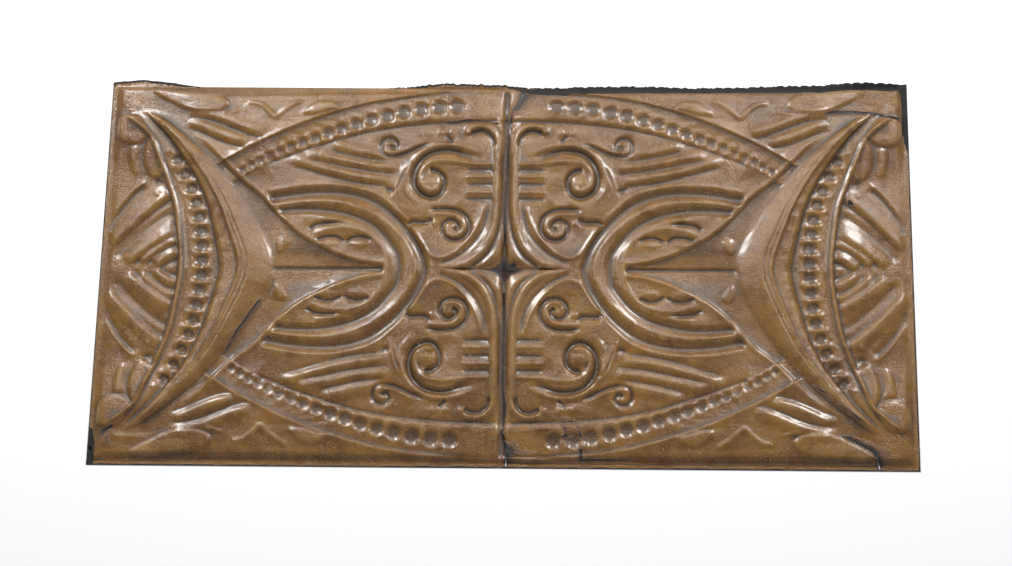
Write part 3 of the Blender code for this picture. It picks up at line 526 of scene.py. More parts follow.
@dataclass(frozen=True)
class Scrolls:
    """Large volute, the two small scrolls by it and the leaf lip beside it."""

    scroll_depth: float = 0.005
    scroll_width: float = 0.015
    curl_rise: float = 0.003
    scroll_line: Points = (
        (0.12, 0.583), (0.2, 0.602), (0.25, 0.62), (0.3, 0.627), (0.36, 0.617), (0.4, 0.597),
        (0.432, 0.563), (0.452, 0.52), (0.457, 0.47), (0.443, 0.42), (0.41, 0.388), (0.37, 0.375),
        (0.335, 0.388), (0.312, 0.423), (0.307, 0.466), (0.323, 0.502), (0.355, 0.52), (0.382, 0.518),
    )
    scroll_crest: Points = (
        (0.1, 0.598), (0.15, 0.622), (0.2, 0.643), (0.25, 0.657), (0.31, 0.66), (0.37, 0.647),
        (0.42, 0.62), (0.455, 0.582), (0.474, 0.54), (0.49, 0.49), (0.497, 0.44), (0.485, 0.395),
        (0.455, 0.358), (0.42, 0.325),
    )
    curl_line: Points = (
        (0.16, 0.557), (0.24, 0.567), (0.3, 0.572), (0.355, 0.566), (0.398, 0.545), (0.424, 0.505),
        (0.428, 0.455), (0.408, 0.422), (0.372, 0.41), (0.345, 0.42),
    )
    curl_belly: tuple[float, ...] = (0.385, 0.452, 0.062, 0.05, 0.0)
    bowl: tuple[float, ...] = (0.275, 0.4, 0.085, 0.08, -30.0)
    small_scroll_line: Points = (
        (0.385, 0.302), (0.33, 0.315), (0.28, 0.315), (0.23, 0.304), (0.192, 0.275), (0.176, 0.23),
        (0.186, 0.186), (0.215, 0.158), (0.255, 0.15), (0.29, 0.164), (0.31, 0.197), (0.304, 0.236),
        (0.274, 0.256), (0.243, 0.244), (0.233, 0.217), (0.25, 0.205),
    )
    small_scroll_ridge: Points = (
        (0.37, 0.285), (0.3, 0.287), (0.25, 0.28), (0.216, 0.252), (0.205, 0.212), (0.224, 0.181),
        (0.258, 0.171), (0.284, 0.187),
    )
    upper_scroll_line: Points = (
        (0.37, 0.665), (0.43, 0.645), (0.48, 0.618), (0.53, 0.598), (0.58, 0.592), (0.615, 0.608),
        (0.627, 0.64), (0.618, 0.675), (0.59, 0.69), (0.56, 0.682), (0.547, 0.657), (0.562, 0.638),
        (0.58, 0.647),
    )
    upper_scroll_ridge: Points = ((0.43, 0.667), (0.49, 0.636), (0.54, 0.617), (0.583, 0.617))
    stem_ball_line: Points = (
        (0.372, 0.275), (0.38, 0.248), (0.42, 0.243), (0.455, 0.247), (0.48, 0.23),
    )
    stem_ball: tuple[float, ...] = (0.348, 0.238, 0.024, 0.022, 0.0)
    lip_ridges: tuple[Points, ...] = (
        ((0.46, 0.575), (0.505, 0.53), (0.53, 0.475), (0.548, 0.41), (0.556, 0.345)),
        ((0.478, 0.55), (0.5, 0.49), (0.522, 0.43), (0.528, 0.38)),
    )
    lip_pocket: tuple[float, ...] = (0.58, 0.415, 0.04, 0.026, 20.0)
    feathers: tuple[Points, ...] = (
        ((0.55, 0.578), (0.63, 0.585), (0.72, 0.598), (0.8, 0.617), (0.89, 0.64)),
        ((0.54, 0.517), (0.64, 0.521), (0.74, 0.537), (0.83, 0.556), (0.92, 0.575), (1.02, 0.596)),
        ((0.575, 0.448), (0.64, 0.455), (0.73, 0.466), (0.82, 0.487), (0.91, 0.512), (1.0, 0.54),
         (1.09, 0.562)),
    )

    def height(self, at: Places) -> np.ndarray:
        """Metres that the scrolls and the feathers add at every place.

        Args:
            at: Places of the quarter.

        Returns:
            Metres to add at every place.
        """
        z = LINES.ridge_rise * at.stroke(self.scroll_crest, LINES.broad_width, 0.15, 0.12)
        z = z + self.curl_rise * LINES.faint * at.stroke(self.curl_line, LINES.broad_width, 0.1, 0.0)
        z = z + self.curl_rise * at.spot(self.curl_belly)
        z = z - LINES.ridge_rise * at.spot(self.bowl)
        z = z - self.scroll_depth * at.stroke(self.scroll_line, self.scroll_width, 0.20, 0.02)
        for lip in self.lip_ridges:
            z = z + LINES.faint_rise * at.stroke(lip, LINES.narrow_width, 0.1, 0.15)
        z = z - LINES.faint_depth * at.spot(self.lip_pocket)
        for feather in self.feathers:
            z = z + LINES.step_rise * at.step(feather, LINES.step_run, LINES.step_wall)
        return z + self.small_scrolls(at)

    def small_scrolls(self, at: Places) -> np.ndarray:
        """Metres that the two small scrolls and the balled stem add at every place.

        Args:
            at: Places of the quarter.

        Returns:
            Metres to add at every place.
        """
        z = -LINES.small_scroll_depth * at.stroke(self.small_scroll_line,
                                                  LINES.small_scroll_width, 0.08, 0.0)
        z = z + LINES.faint_rise * at.stroke(self.small_scroll_ridge, LINES.narrow_width, 0.08, 0.0)
        z = z - LINES.faint_depth * at.stroke(self.upper_scroll_line, LINES.small_scroll_width,
                                              0.15, 0.0)
        z = z + LINES.faint_rise * at.stroke(self.upper_scroll_ridge, LINES.narrow_width, 0.2, 0.1)
        z = z - LINES.small_scroll_depth * at.stroke(self.stem_ball_line,
                                                     LINES.small_scroll_width * LINES.broad, 0.15, 0.0)
        return z + LINES.ridge_rise * at.spot(self.stem_ball)


@dataclass(frozen=True)
class BeadArc:
    """Strip of beads along the lens field's long edges."""

    bead_strip_rise: float = 0.0018
    spandrel_rise: float = 0.0018
    level_wall: float = 0.005
    strip_root_depth: float = 0.0015
    top_ridge_width: float = 0.0065
    horn_start: float = 0.47
    horn_spread: float = 0.25
    arc_bead_depth: float = 0.0029
    tooth_rise: float = 0.0008
    tooth_size: float = 0.30
    tooth_side: float = 0.42
    strip_low: Points = (
        (0.03, 0.79), (0.2, 0.785), (0.35, 0.776), (0.5, 0.76), (0.6, 0.745), (0.7, 0.725),
        (0.8, 0.698), (0.9, 0.666), (1.0, 0.634), (1.1, 0.594), (1.2, 0.552), (1.3, 0.492),
        (1.36, 0.455),
    )
    strip_top: Points = (
        (0.0, 0.957), (0.2, 0.955), (0.4, 0.94), (0.6, 0.91), (0.7, 0.885), (0.8, 0.855), (0.9, 0.822),
        (1.0, 0.785), (1.1, 0.74), (1.2, 0.69), (1.3, 0.637), (1.44, 0.55),
    )
    arc_beads: Points = (
        (0.25, 0.865), (0.34, 0.86), (0.43, 0.85), (0.52, 0.832), (0.6, 0.812), (0.68, 0.79),
        (0.755, 0.766), (0.827, 0.741), (0.895, 0.716), (0.96, 0.69), (1.02, 0.665), (1.078, 0.64),
        (1.13, 0.615), (1.182, 0.59), (1.23, 0.565), (1.275, 0.54), (1.317, 0.515),
    )
    arc_bead_sizes: tuple[float, ...] = (0.031, 0.0165)

    def height(self, at: Places, in_lens: np.ndarray) -> np.ndarray:
        """Heights of the strip, its beads and the level beyond it.

        Args:
            at: Places of the quarter.
            in_lens: 1 on the lens side of the crescent's foot, 0 beyond it.

        Returns:
            Metres to add at every place.
        """
        past_low = at.past(self.strip_low)
        past_top = at.past(self.strip_top)
        levels = (self.bead_strip_rise * ease((past_low + self.level_wall / 2) / self.level_wall)
                  + self.spandrel_rise * ease((past_top + self.level_wall / 2) / self.level_wall))
        beyond = ((self.bead_strip_rise + self.spandrel_rise)
                  * ease((at.v - self.horn_start) / self.horn_spread))
        z = beyond + (levels - beyond) * in_lens
        z = z + LINES.ridge_rise * round_bar(np.abs(past_top), self.top_ridge_width) * in_lens
        z = z - self.strip_root_depth * at.stroke(self.strip_low[:-2], LINES.broad_width, 0.02, 0.02)
        large, small = self.arc_bead_sizes
        for k, (cu, cv) in enumerate(self.arc_beads):
            size = large + (small - large) * k / (len(self.arc_beads) - 1)
            z = z - self.arc_bead_depth * at.dimple(cu, cv, size) * size / large
        line = np.array(self.arc_beads)
        for (au, av), (bu, bv) in zip(line[:-1], line[1:]):
            reach = math.hypot(bu - au, bv - av)
            across = np.array((-(bv - av), bu - au)) / reach
            for side in (-self.tooth_side, self.tooth_side):
                cu, cv = (au + bu) / 2, (av + bv) / 2
                z = z + self.tooth_rise * at.spot((
                    cu + side * reach * across[0], cv + side * reach * across[1],
                    reach * self.tooth_size, reach * self.tooth_size, 0.0))
        return z


@dataclass(frozen=True)
class Crescent:
    """Sharp-backed crescent at each end, with a column of beads on its outer side."""

    crescent_profile: Points = (
        (0.0, 0.0, 0.0), (0.27, -0.07, 0.0078), (0.295, -0.075, 0.0066), (0.325, -0.085, 0.0082),
        (0.350, -0.095, 0.0070), (0.385, -0.11, 0.0088), (0.415, -0.12, 0.0058),
        (0.56, -0.2, 0.0050), (0.620, -0.2, -0.0006), (0.70, -0.16, -0.0006), (0.75, -0.12, 0.0008),
        (0.94, 0.0, 0.0006), (1.0, 0.0, -0.0008),
    )
    outer_ridge_rise: float = 0.0038
    outer_ridge_width: float = 0.0105
    scallop_depth: float = 0.0004
    scallop_band: tuple[float, ...] = (0.43, 0.60)
    scallop_shift: float = 0.15
    scallop_fade: float = 0.03
    scallop_sharpness: int = 6
    horn_end: float = 0.84
    horn_fade: float = 0.1
    horn_sweep: float = 1.5
    column_bead_depth: float = 0.0032
    column_bead: float = 0.026
    column_bead_pitch: float = 0.0233
    column_bead_count: int = 8
    column_bead_taper: float = 0.03
    tooth_place: float = 0.033
    tooth: tuple[float, ...] = (0.026, 0.020)
    tooth_rise: float = 0.0014
    crescent_foot: Points = (
        (1.135, -0.02), (1.15, 0.08), (1.17, 0.13), (1.195, 0.18), (1.25, 0.27), (1.3, 0.353),
        (1.35, 0.425), (1.4, 0.49), (1.45, 0.55), (1.5, 0.602), (1.6, 0.695), (1.7, 0.775), (1.8, 0.85),
        (2.02, 1.02),
    )
    crescent_outer: Points = (
        (1.568, -0.02), (1.575, 0.1), (1.588, 0.2), (1.603, 0.3), (1.628, 0.38), (1.66, 0.46),
        (1.69, 0.52), (1.72, 0.58), (1.76, 0.655), (1.79, 0.7), (1.83, 0.755), (1.88, 0.815),
        (2.02, 0.97),
    )
    outer_ridge: Points = (
        (1.596, -0.02), (1.604, 0.1), (1.617, 0.2), (1.632, 0.3), (1.655, 0.38), (1.683, 0.455),
        (1.708, 0.52), (1.74, 0.6), (1.77, 0.672), (1.8, 0.715), (1.838, 0.75), (1.885, 0.787),
        (1.925, 0.812),
    )
    column_line: Points = (
        (1.492, 0.0), (1.496, 0.1), (1.508, 0.2), (1.527, 0.3), (1.56, 0.4), (1.605, 0.5), (1.66, 0.6),
    )

    def height(self, at: Places, past_foot: np.ndarray, past_outer: np.ndarray) -> np.ndarray:
        """Heights of the crescent and of the ridge beside its beads.

        Args:
            at: Places of the quarter.
            past_foot: Metres beyond the crescent's foot.
            past_outer: Metres inside its outer line.

        Returns:
            Metres to add at every place.
        """
        across = past_foot / np.maximum(np.abs(past_foot) + np.abs(past_outer), 1e-6)
        tip = np.clip(at.v / self.horn_end, 0, 1) ** self.horn_sweep
        z = np.zeros(at.u.shape)
        for (w0, s0, h0), (w1, s1, h1) in zip(self.crescent_profile[:-1],
                                              self.crescent_profile[1:]):
            a = w0 + s0 * tip
            b = w1 + s1 * tip
            t = (across - a) / np.maximum(b - a, 1e-6)
            z = np.where((t >= 0) & (across <= b), h0 + (h1 - h0) * t, z)
        turns = at.v * SHEET.half_repeat / self.column_bead_pitch
        low, high = (edge - self.scallop_shift * tip for edge in self.scallop_band)
        z = z - (self.scallop_depth * np.cos(math.pi * turns) ** self.scallop_sharpness
                 * ease((across - low) / self.scallop_fade)
                 * ease((high - across) / self.scallop_fade))
        z = np.where((past_foot <= 0) | (past_outer < 0), 0, z)
        return (z * ease((self.horn_end - at.v) / self.horn_fade) - self.beads(at)
                + self.outer_ridge_rise * at.stroke(self.outer_ridge, self.outer_ridge_width,
                                                    0.0, 0.06))

    def beads(self, at: Places) -> np.ndarray:
        """Depth in metres of the column of beads at every place.

        Args:
            at: Places of the quarter.

        Returns:
            Metres to take away at every place.
        """
        line = smooth_curve(self.column_line)
        beads = np.zeros(at.u.shape)
        for k in range(self.column_bead_count):
            cv = (k + 0.5) * self.column_bead_pitch / SHEET.half_repeat
            cu = float(np.interp(cv, line[:, 1], line[:, 0]))
            size = self.column_bead * (1 - self.column_bead_taper * k)
            beads = np.maximum(beads, at.dimple(cu, cv, size))
        depth = self.column_bead_depth * beads
        for k in range(self.column_bead_count + 1):
            cv = k * self.column_bead_pitch / SHEET.half_repeat
            cu = float(np.interp(cv, line[:, 1], line[:, 0]))
            for side in (-1, 1):
                tooth = at.spot((cu + side * self.tooth_place, cv, *self.tooth, 0.0))
                depth = depth - self.tooth_rise * tooth
        return depth


@dataclass(frozen=True)
class SideField:
    """Bands, leaves and petal between a crescent and the sheet's short edge."""

    side_field_drop: float = 0.001
    side_wall: float = 0.006
    side_band_width: float = 0.022
    side_steps: tuple[Points, ...] = (
        ((1.61, 0.062), (1.66, 0.045), (1.715, 0.0)),
        ((1.615, 0.135), (1.68, 0.11), (1.74, 0.065), (1.79, 0.015)),
        ((1.625, 0.19), (1.7, 0.148), (1.78, 0.09), (1.86, 0.01)),
        ((1.655, 0.385), (1.7, 0.352), (1.77, 0.292), (1.84, 0.222), (1.9, 0.158), (1.96, 0.095)),
    )
    side_bands: tuple[Points, ...] = (
        ((1.64, 0.305), (1.7, 0.27), (1.77, 0.215), (1.85, 0.14), (1.93, 0.05)),
        ((1.79, 0.438), (1.85, 0.382), (1.9, 0.32), (1.945, 0.25), (1.975, 0.19)),
    )
    side_ridge: Points = ((1.79, 0.462), (1.84, 0.425), (1.885, 0.375), (1.93, 0.31), (1.96, 0.25))
    side_pocket: tuple[float, ...] = (1.735, 0.455, 0.04, 0.03, 20.0)
    side_knob: tuple[float, ...] = (1.738, 0.392, 0.024, 0.022, 0.0)
    leaf_by_ridge: Points = (
        (1.712, 0.512), (1.728, 0.57), (1.755, 0.63), (1.788, 0.684), (1.806, 0.655), (1.815, 0.6),
        (1.802, 0.53), (1.77, 0.482), (1.735, 0.485),
    )
    outer_leaf: Points = (
        (1.84, 0.508), (1.848, 0.58), (1.842, 0.64), (1.885, 0.637), (1.888, 0.58), (1.87, 0.51),
    )
    petal: Points = (
        (1.8, 0.712), (1.822, 0.674), (1.87, 0.656), (1.93, 0.672), (1.965, 0.73), (1.96, 0.785),
        (1.92, 0.812), (1.868, 0.808), (1.822, 0.762),
    )

    def height(self, at: Places, past_foot: np.ndarray, past_outer: np.ndarray) -> np.ndarray:
        """Heights of the bands and leaves beside the short edge.

        Args:
            at: Places of the quarter.
            past_foot: Metres beyond the crescent's foot.
            past_outer: Metres inside its outer line.

        Returns:
            Metres to add at every place.
        """
        inside = ease(-past_outer / self.side_wall) * ease(past_foot / self.side_wall)
        z = -self.side_field_drop * inside
        for line in self.side_steps:
            z = z + LINES.step_rise * at.step(line, LINES.step_run, LINES.step_wall) * inside
        for line in self.side_bands:
            z = z - LINES.step_rise * LINES.faint * at.stroke(line, self.side_band_width, 0.12, 0.1)
        z = z + LINES.ridge_rise * at.stroke(self.side_ridge, LINES.narrow_width, 0.1, 0.2)
        z = z - LINES.faint_depth * at.spot(self.side_pocket)
        z = z + LINES.ridge_rise * at.spot(self.side_knob)
        z = z + LINES.leaf_rise * at.plate(self.leaf_by_ridge, LINES.leaf_wall)
        z = z + LINES.leaf_rise * LINES.faint * at.plate(self.outer_leaf, LINES.leaf_wall)
        return z + LINES.leaf_rise * at.plate(self.petal, LINES.leaf_wall)


@dataclass(frozen=True)
class Spandrel:
    """Leaves between the bead arc and the sheet's long edge."""

    spandrel_steps: tuple[Points, ...] = (
        ((1.21, 0.7), (1.3, 0.722), (1.37, 0.752), (1.45, 0.785), (1.53, 0.803), (1.62, 0.812)),
        ((1.3, 0.652), (1.38, 0.668), (1.46, 0.698), (1.54, 0.735), (1.61, 0.762)),
    )
    tongue: Points = (
        (1.405, 0.875), (1.42, 0.848), (1.47, 0.835), (1.55, 0.832), (1.62, 0.846), (1.68, 0.878),
        (1.74, 0.908), (1.785, 0.942), (1.7, 0.955), (1.58, 0.94), (1.46, 0.935), (1.42, 0.91),
    )
    gull_line: Points = (
        (1.02, 0.905), (1.07, 0.88), (1.12, 0.842), (1.165, 0.805), (1.205, 0.842), (1.25, 0.875),
        (1.31, 0.885),
    )
    scallop: Points = (
        (0.845, 0.848), (0.865, 0.878), (0.905, 0.893), (0.95, 0.889), (0.99, 0.862), (1.02, 0.822),
        (0.95, 0.822), (0.89, 0.842),
    )
    spandrel_ridge: Points = ((1.335, 0.842), (1.385, 0.826), (1.44, 0.82))

    def height(self, at: Places, in_lens: np.ndarray) -> np.ndarray:
        """Heights of the leaves beside the long edge.

        Args:
            at: Places of the quarter.
            in_lens: 1 on the lens side of the crescent's foot, 0 beyond it.

        Returns:
            Metres to add at every place.
        """
        z = LINES.leaf_rise * at.plate(self.tongue, LINES.leaf_wall)
        for line in self.spandrel_steps:
            z = z + LINES.step_rise * at.step(line, LINES.step_run, LINES.step_wall) * in_lens
        z = z + LINES.ridge_rise * at.stroke(self.gull_line, LINES.broad_width)
        z = z + LINES.leaf_rise * LINES.faint * at.plate(self.scallop, LINES.leaf_wall)
        return z + LINES.faint_rise * at.stroke(self.spandrel_ridge, LINES.narrow_width, 0.2, 0.2)


@dataclass(frozen=True)
class WornEdge:
    """The far long edge as it is now, worn back between the corners."""

    top_edge: Points = (
        (-2.0, 1.0), (-1.85, 1.015), (-1.7, 0.998), (-1.5, 0.968), (-1.1, 0.957), (-0.8, 0.967),
        (-0.5, 0.98), (-0.35, 1.003), (0.0, 0.994), (0.1, 0.977), (0.6, 0.99), (1.0, 0.98), (1.6, 1.0),
        (1.8, 1.017), (2.0, 1.002),
    )
    worn_from: float = 0.88
    tear_depth: float = 0.0036
    smooth_until: float = -1.5
    smooth_run: float = 0.15
    smooth_share: float = 0.25
    tear_power: float = 0.7
    tear_waves: Points = ((1.0, 47.0, 1.0), (0.8, 113.0, 2.0), (0.7, 271.0, 0.0),
                          (0.6, 593.0, 0.5))

    def reach(self, x: np.ndarray) -> np.ndarray:
        """Place across the width of the worn edge, for places along the length."""
        places, reaches = zip(*self.top_edge)
        return np.interp(x / SHEET.half_repeat, places, reaches) * SHEET.width / 2

    def pressed_place(self, x: np.ndarray, y: np.ndarray) -> np.ndarray:
        """Undo the wear of the far edge.

        Args:
            x: Metres along the length.
            y: Metres across the width, as they are now.

        Returns:
            Metres across the width before the edge was worn.
        """
        start = self.worn_from * SHEET.width / 2
        now = self.reach(x) - self.torn(x) - start
        return np.where(y > start, start + (y - start) * (SHEET.width / 2 - start) / now, y)

    def torn(self, x: np.ndarray) -> np.ndarray:
        """How far small tears cut into the worn edge.

        Args:
            x: Metres along the length.

        Returns:
            Metres of edge that are gone at every place.
        """
        wave = (sum(size * np.sin(pitch * x + shift) for size, pitch, shift in self.tear_waves)
                / sum(size for size, _, _ in self.tear_waves))
        past = (x / SHEET.half_repeat - self.smooth_until) / self.smooth_run
        rough = self.smooth_share + (1 - self.smooth_share) * ease(past)
        return self.tear_depth * rough * np.abs(wave) ** self.tear_power


class Pattern:
    """The whole pressed pattern of one quarter, put together from its motifs."""

    edge_drop = 0.0030
    edge_reach = 0.075

    def __init__(self) -> None:
        """Take every motif at its traced size."""
        self.ring = Ring()
        self.spine = Spine()
        self.scrolls = Scrolls()
        self.bead_arc = BeadArc()
        self.crescent = Crescent()
        self.side_field = SideField()
        self.spandrel = Spandrel()

    def face(self, u: np.ndarray, v: np.ndarray) -> np.ndarray:
        """Heights over the nailing rim, as if the pattern ran on over it.

        Args:
            u: Shares of half a repeat along the length.
            v: Shares of half a repeat across the width.

        Returns:
            Height in metres at every place.
        """
        at = Places(u, v)
        past_foot = -at.past(self.crescent.crescent_foot)
        past_outer = at.past(self.crescent.crescent_outer)
        in_lens = ease(0.5 - past_foot / LINES.foot_blend)
        z = LINES.field_rise + self.bead_arc.height(at, in_lens)
        z = z + self.ring.height(at, in_lens)
        z = z + self.spine.height(at)
        z = z + self.scrolls.height(at)
        z = z + self.spandrel.height(at, in_lens)
        z = z + self.crescent.height(at, past_foot, past_outer)
        z = z + self.side_field.height(at, past_foot, past_outer)
        crown = (SHEET.crown * (1 - (u * SHEET.width / SHEET.length) ** 2) * (1 - v ** 2))
        sunk = self.edge_drop * (1 - ease(self.to_edge(u, v) / self.edge_reach))
        return np.maximum(z + crown - sunk, LINES.lowest_floor)

    @staticmethod
    def to_edge(u: np.ndarray, v: np.ndarray) -> np.ndarray:
        """Metres from places to the sheet's nearest edge."""
        return np.minimum(SHEET.length / SHEET.width - u, 1 - v) * SHEET.half_repeat

    def inside_rim(self, u: np.ndarray, v: np.ndarray) -> np.ndarray:
        """Share of its height that the pattern has at every place, 0 on the rim."""
        return ease((self.to_edge(u, v) - SHEET.rim) / SHEET.rim_wall)


class ReliefMap:
    """Heights of one quarter on an even grid, with how hollow each place is."""

    hollow_reach = 0.011
    crevice_reach = 0.004

    def __init__(self, pattern: Pattern, step: float) -> None:
        """Work the heights out once.

        Args:
            pattern: The pressed pattern.
            step: Distance between the grid's lines, in metres.
        """
        self.xs = np.linspace(0, SHEET.length / 2, round(SHEET.length / 2 / step) + 1)
        self.ys = np.linspace(0, SHEET.width / 2, round(SHEET.width / 2 / step) + 1)
        x, y = np.meshgrid(self.xs, self.ys, indexing="ij")
        u, v = x / SHEET.half_repeat, y / SHEET.half_repeat
        face = pattern.face(u, v)
        self.height = face * pattern.inside_rim(u, v)
        self.hollow = self.spread(face, round(self.hollow_reach / step)) - face
        self.crevice = self.spread(face, round(self.crevice_reach / step)) - face

    @staticmethod
    def spread(values: np.ndarray, reach: int) -> np.ndarray:
        """Average of the grid over a square, done twice.

        Args:
            values: The grid.
            reach: Grid steps from the square's middle to its side.

        Returns:
            The averaged grid.
        """
        for _ in range(2):
            for axis in (0, 1):
                edges = [(reach, reach) if k == axis else (0, 0) for k in (0, 1)]
                wide = np.pad(values, edges, mode="reflect")
                total = np.cumsum(wide, axis=axis)
                total = np.concatenate((np.zeros_like(total.take([0], axis=axis)), total),
                                       axis=axis)
                count = 2 * reach + 1
                size = values.shape[axis]
                values = (total.take(range(count, count + size), axis=axis)
                          - total.take(range(size), axis=axis)) / count
        return values

    def sample(self, values: np.ndarray, x: np.ndarray, y: np.ndarray) -> np.ndarray:
        """Values at places, between the grid's lines too.

        Args:
            values: One of the map's grids.
            x: Metres along the length, in any quarter.
            y: Metres across the width, in any quarter.

        Returns:
            One value for each place.
        """
        i = np.clip(np.abs(x) / (self.xs[1] - self.xs[0]), 0, len(self.xs) - 1.001)
        j = np.clip(np.abs(y) / (self.ys[1] - self.ys[0]), 0, len(self.ys) - 1.001)
        i0, j0 = i.astype(int), j.astype(int)
        fi, fj = i - i0, j - j0
        near = values[i0, j0] * (1 - fi) + values[i0 + 1, j0] * fi
        far = values[i0, j0 + 1] * (1 - fi) + values[i0 + 1, j0 + 1] * fi
        return near * (1 - fj) + far * fj


@dataclass(frozen=True)
class Hole:
    """Round nail hole, in metres."""

    place: tuple[float, float]
    radius: float
    sides: int = 24

    def outline(self) -> list[tuple[float, float]]:
        """Go round the hole.

        Returns:
            Its corners in metres.
        """
        angles = [math.tau * k / self.sides for k in range(self.sides)]
        return [(self.place[0] + self.radius * math.cos(angle),
                 self.place[1] + self.radius * math.sin(angle)) for angle in angles]


@dataclass(frozen=True)
class Crack:
    """Split in the sheet, widest at its start and closed at its tip."""

    line: Points
    width: float
    tip_share: float = 0.04
    steps: int = 3

    def outline(self) -> list[tuple[float, float]]:
        """Go round the split.

        Returns:
            Corners in metres, up one side and down the other.
        """
        curve = smooth_curve(self.line, self.steps) * SHEET.half_repeat
        ahead = np.gradient(curve, axis=0)
        ahead = ahead / np.linalg.norm(ahead, axis=1)[:, None]
        share = np.linspace(1, self.tip_share, len(curve))[:, None]
        off = np.stack((-ahead[:, 1], ahead[:, 0]), axis=1) * share * self.width / 2
        return [tuple(p) for p in (curve + off)] + [tuple(p) for p in (curve - off)[::-1]]


@dataclass(frozen=True)
class Bend:
    """Place where the sheet is dented or lifted: middle, half sizes, turn and rise."""

    place: tuple[float, float]
    half_size: tuple[float, float]
    turn: float
    rise: float

    def height(self, x: np.ndarray, y: np.ndarray) -> np.ndarray:
        """Heights of the bend.

        Args:
            x: Metres along the length.
            y: Metres across the width.

        Returns:
            Metres to add at every place.
        """
        c, s = math.cos(math.radians(self.turn)), math.sin(math.radians(self.turn))
        dx = x - self.place[0] * SHEET.half_repeat
        dy = y - self.place[1] * SHEET.half_repeat
        p = (dx * c + dy * s) / self.half_size[0]
        q = (dy * c - dx * s) / self.half_size[1]
        return self.rise * ease(1 - np.sqrt(p * p + q * q))


@dataclass(frozen=True)
class Ripple:
    """Two waves that cross: their size, and pitch along, pitch across and shift of each."""

    size: float
    sine: tuple[float, float, float]
    cosine: tuple[float, float, float]

    def height(self, x: np.ndarray, y: np.ndarray) -> np.ndarray:
        """Heights of the crossing waves.

        Args:
            x: Metres along the length.
            y: Metres across the width.

        Returns:
            Height at every place, at most the size.
        """
        first, second = (along * x + across * y + shift
                         for along, across, shift in (self.sine, self.cosine))
        return self.size * np.sin(first) * np.cos(second)


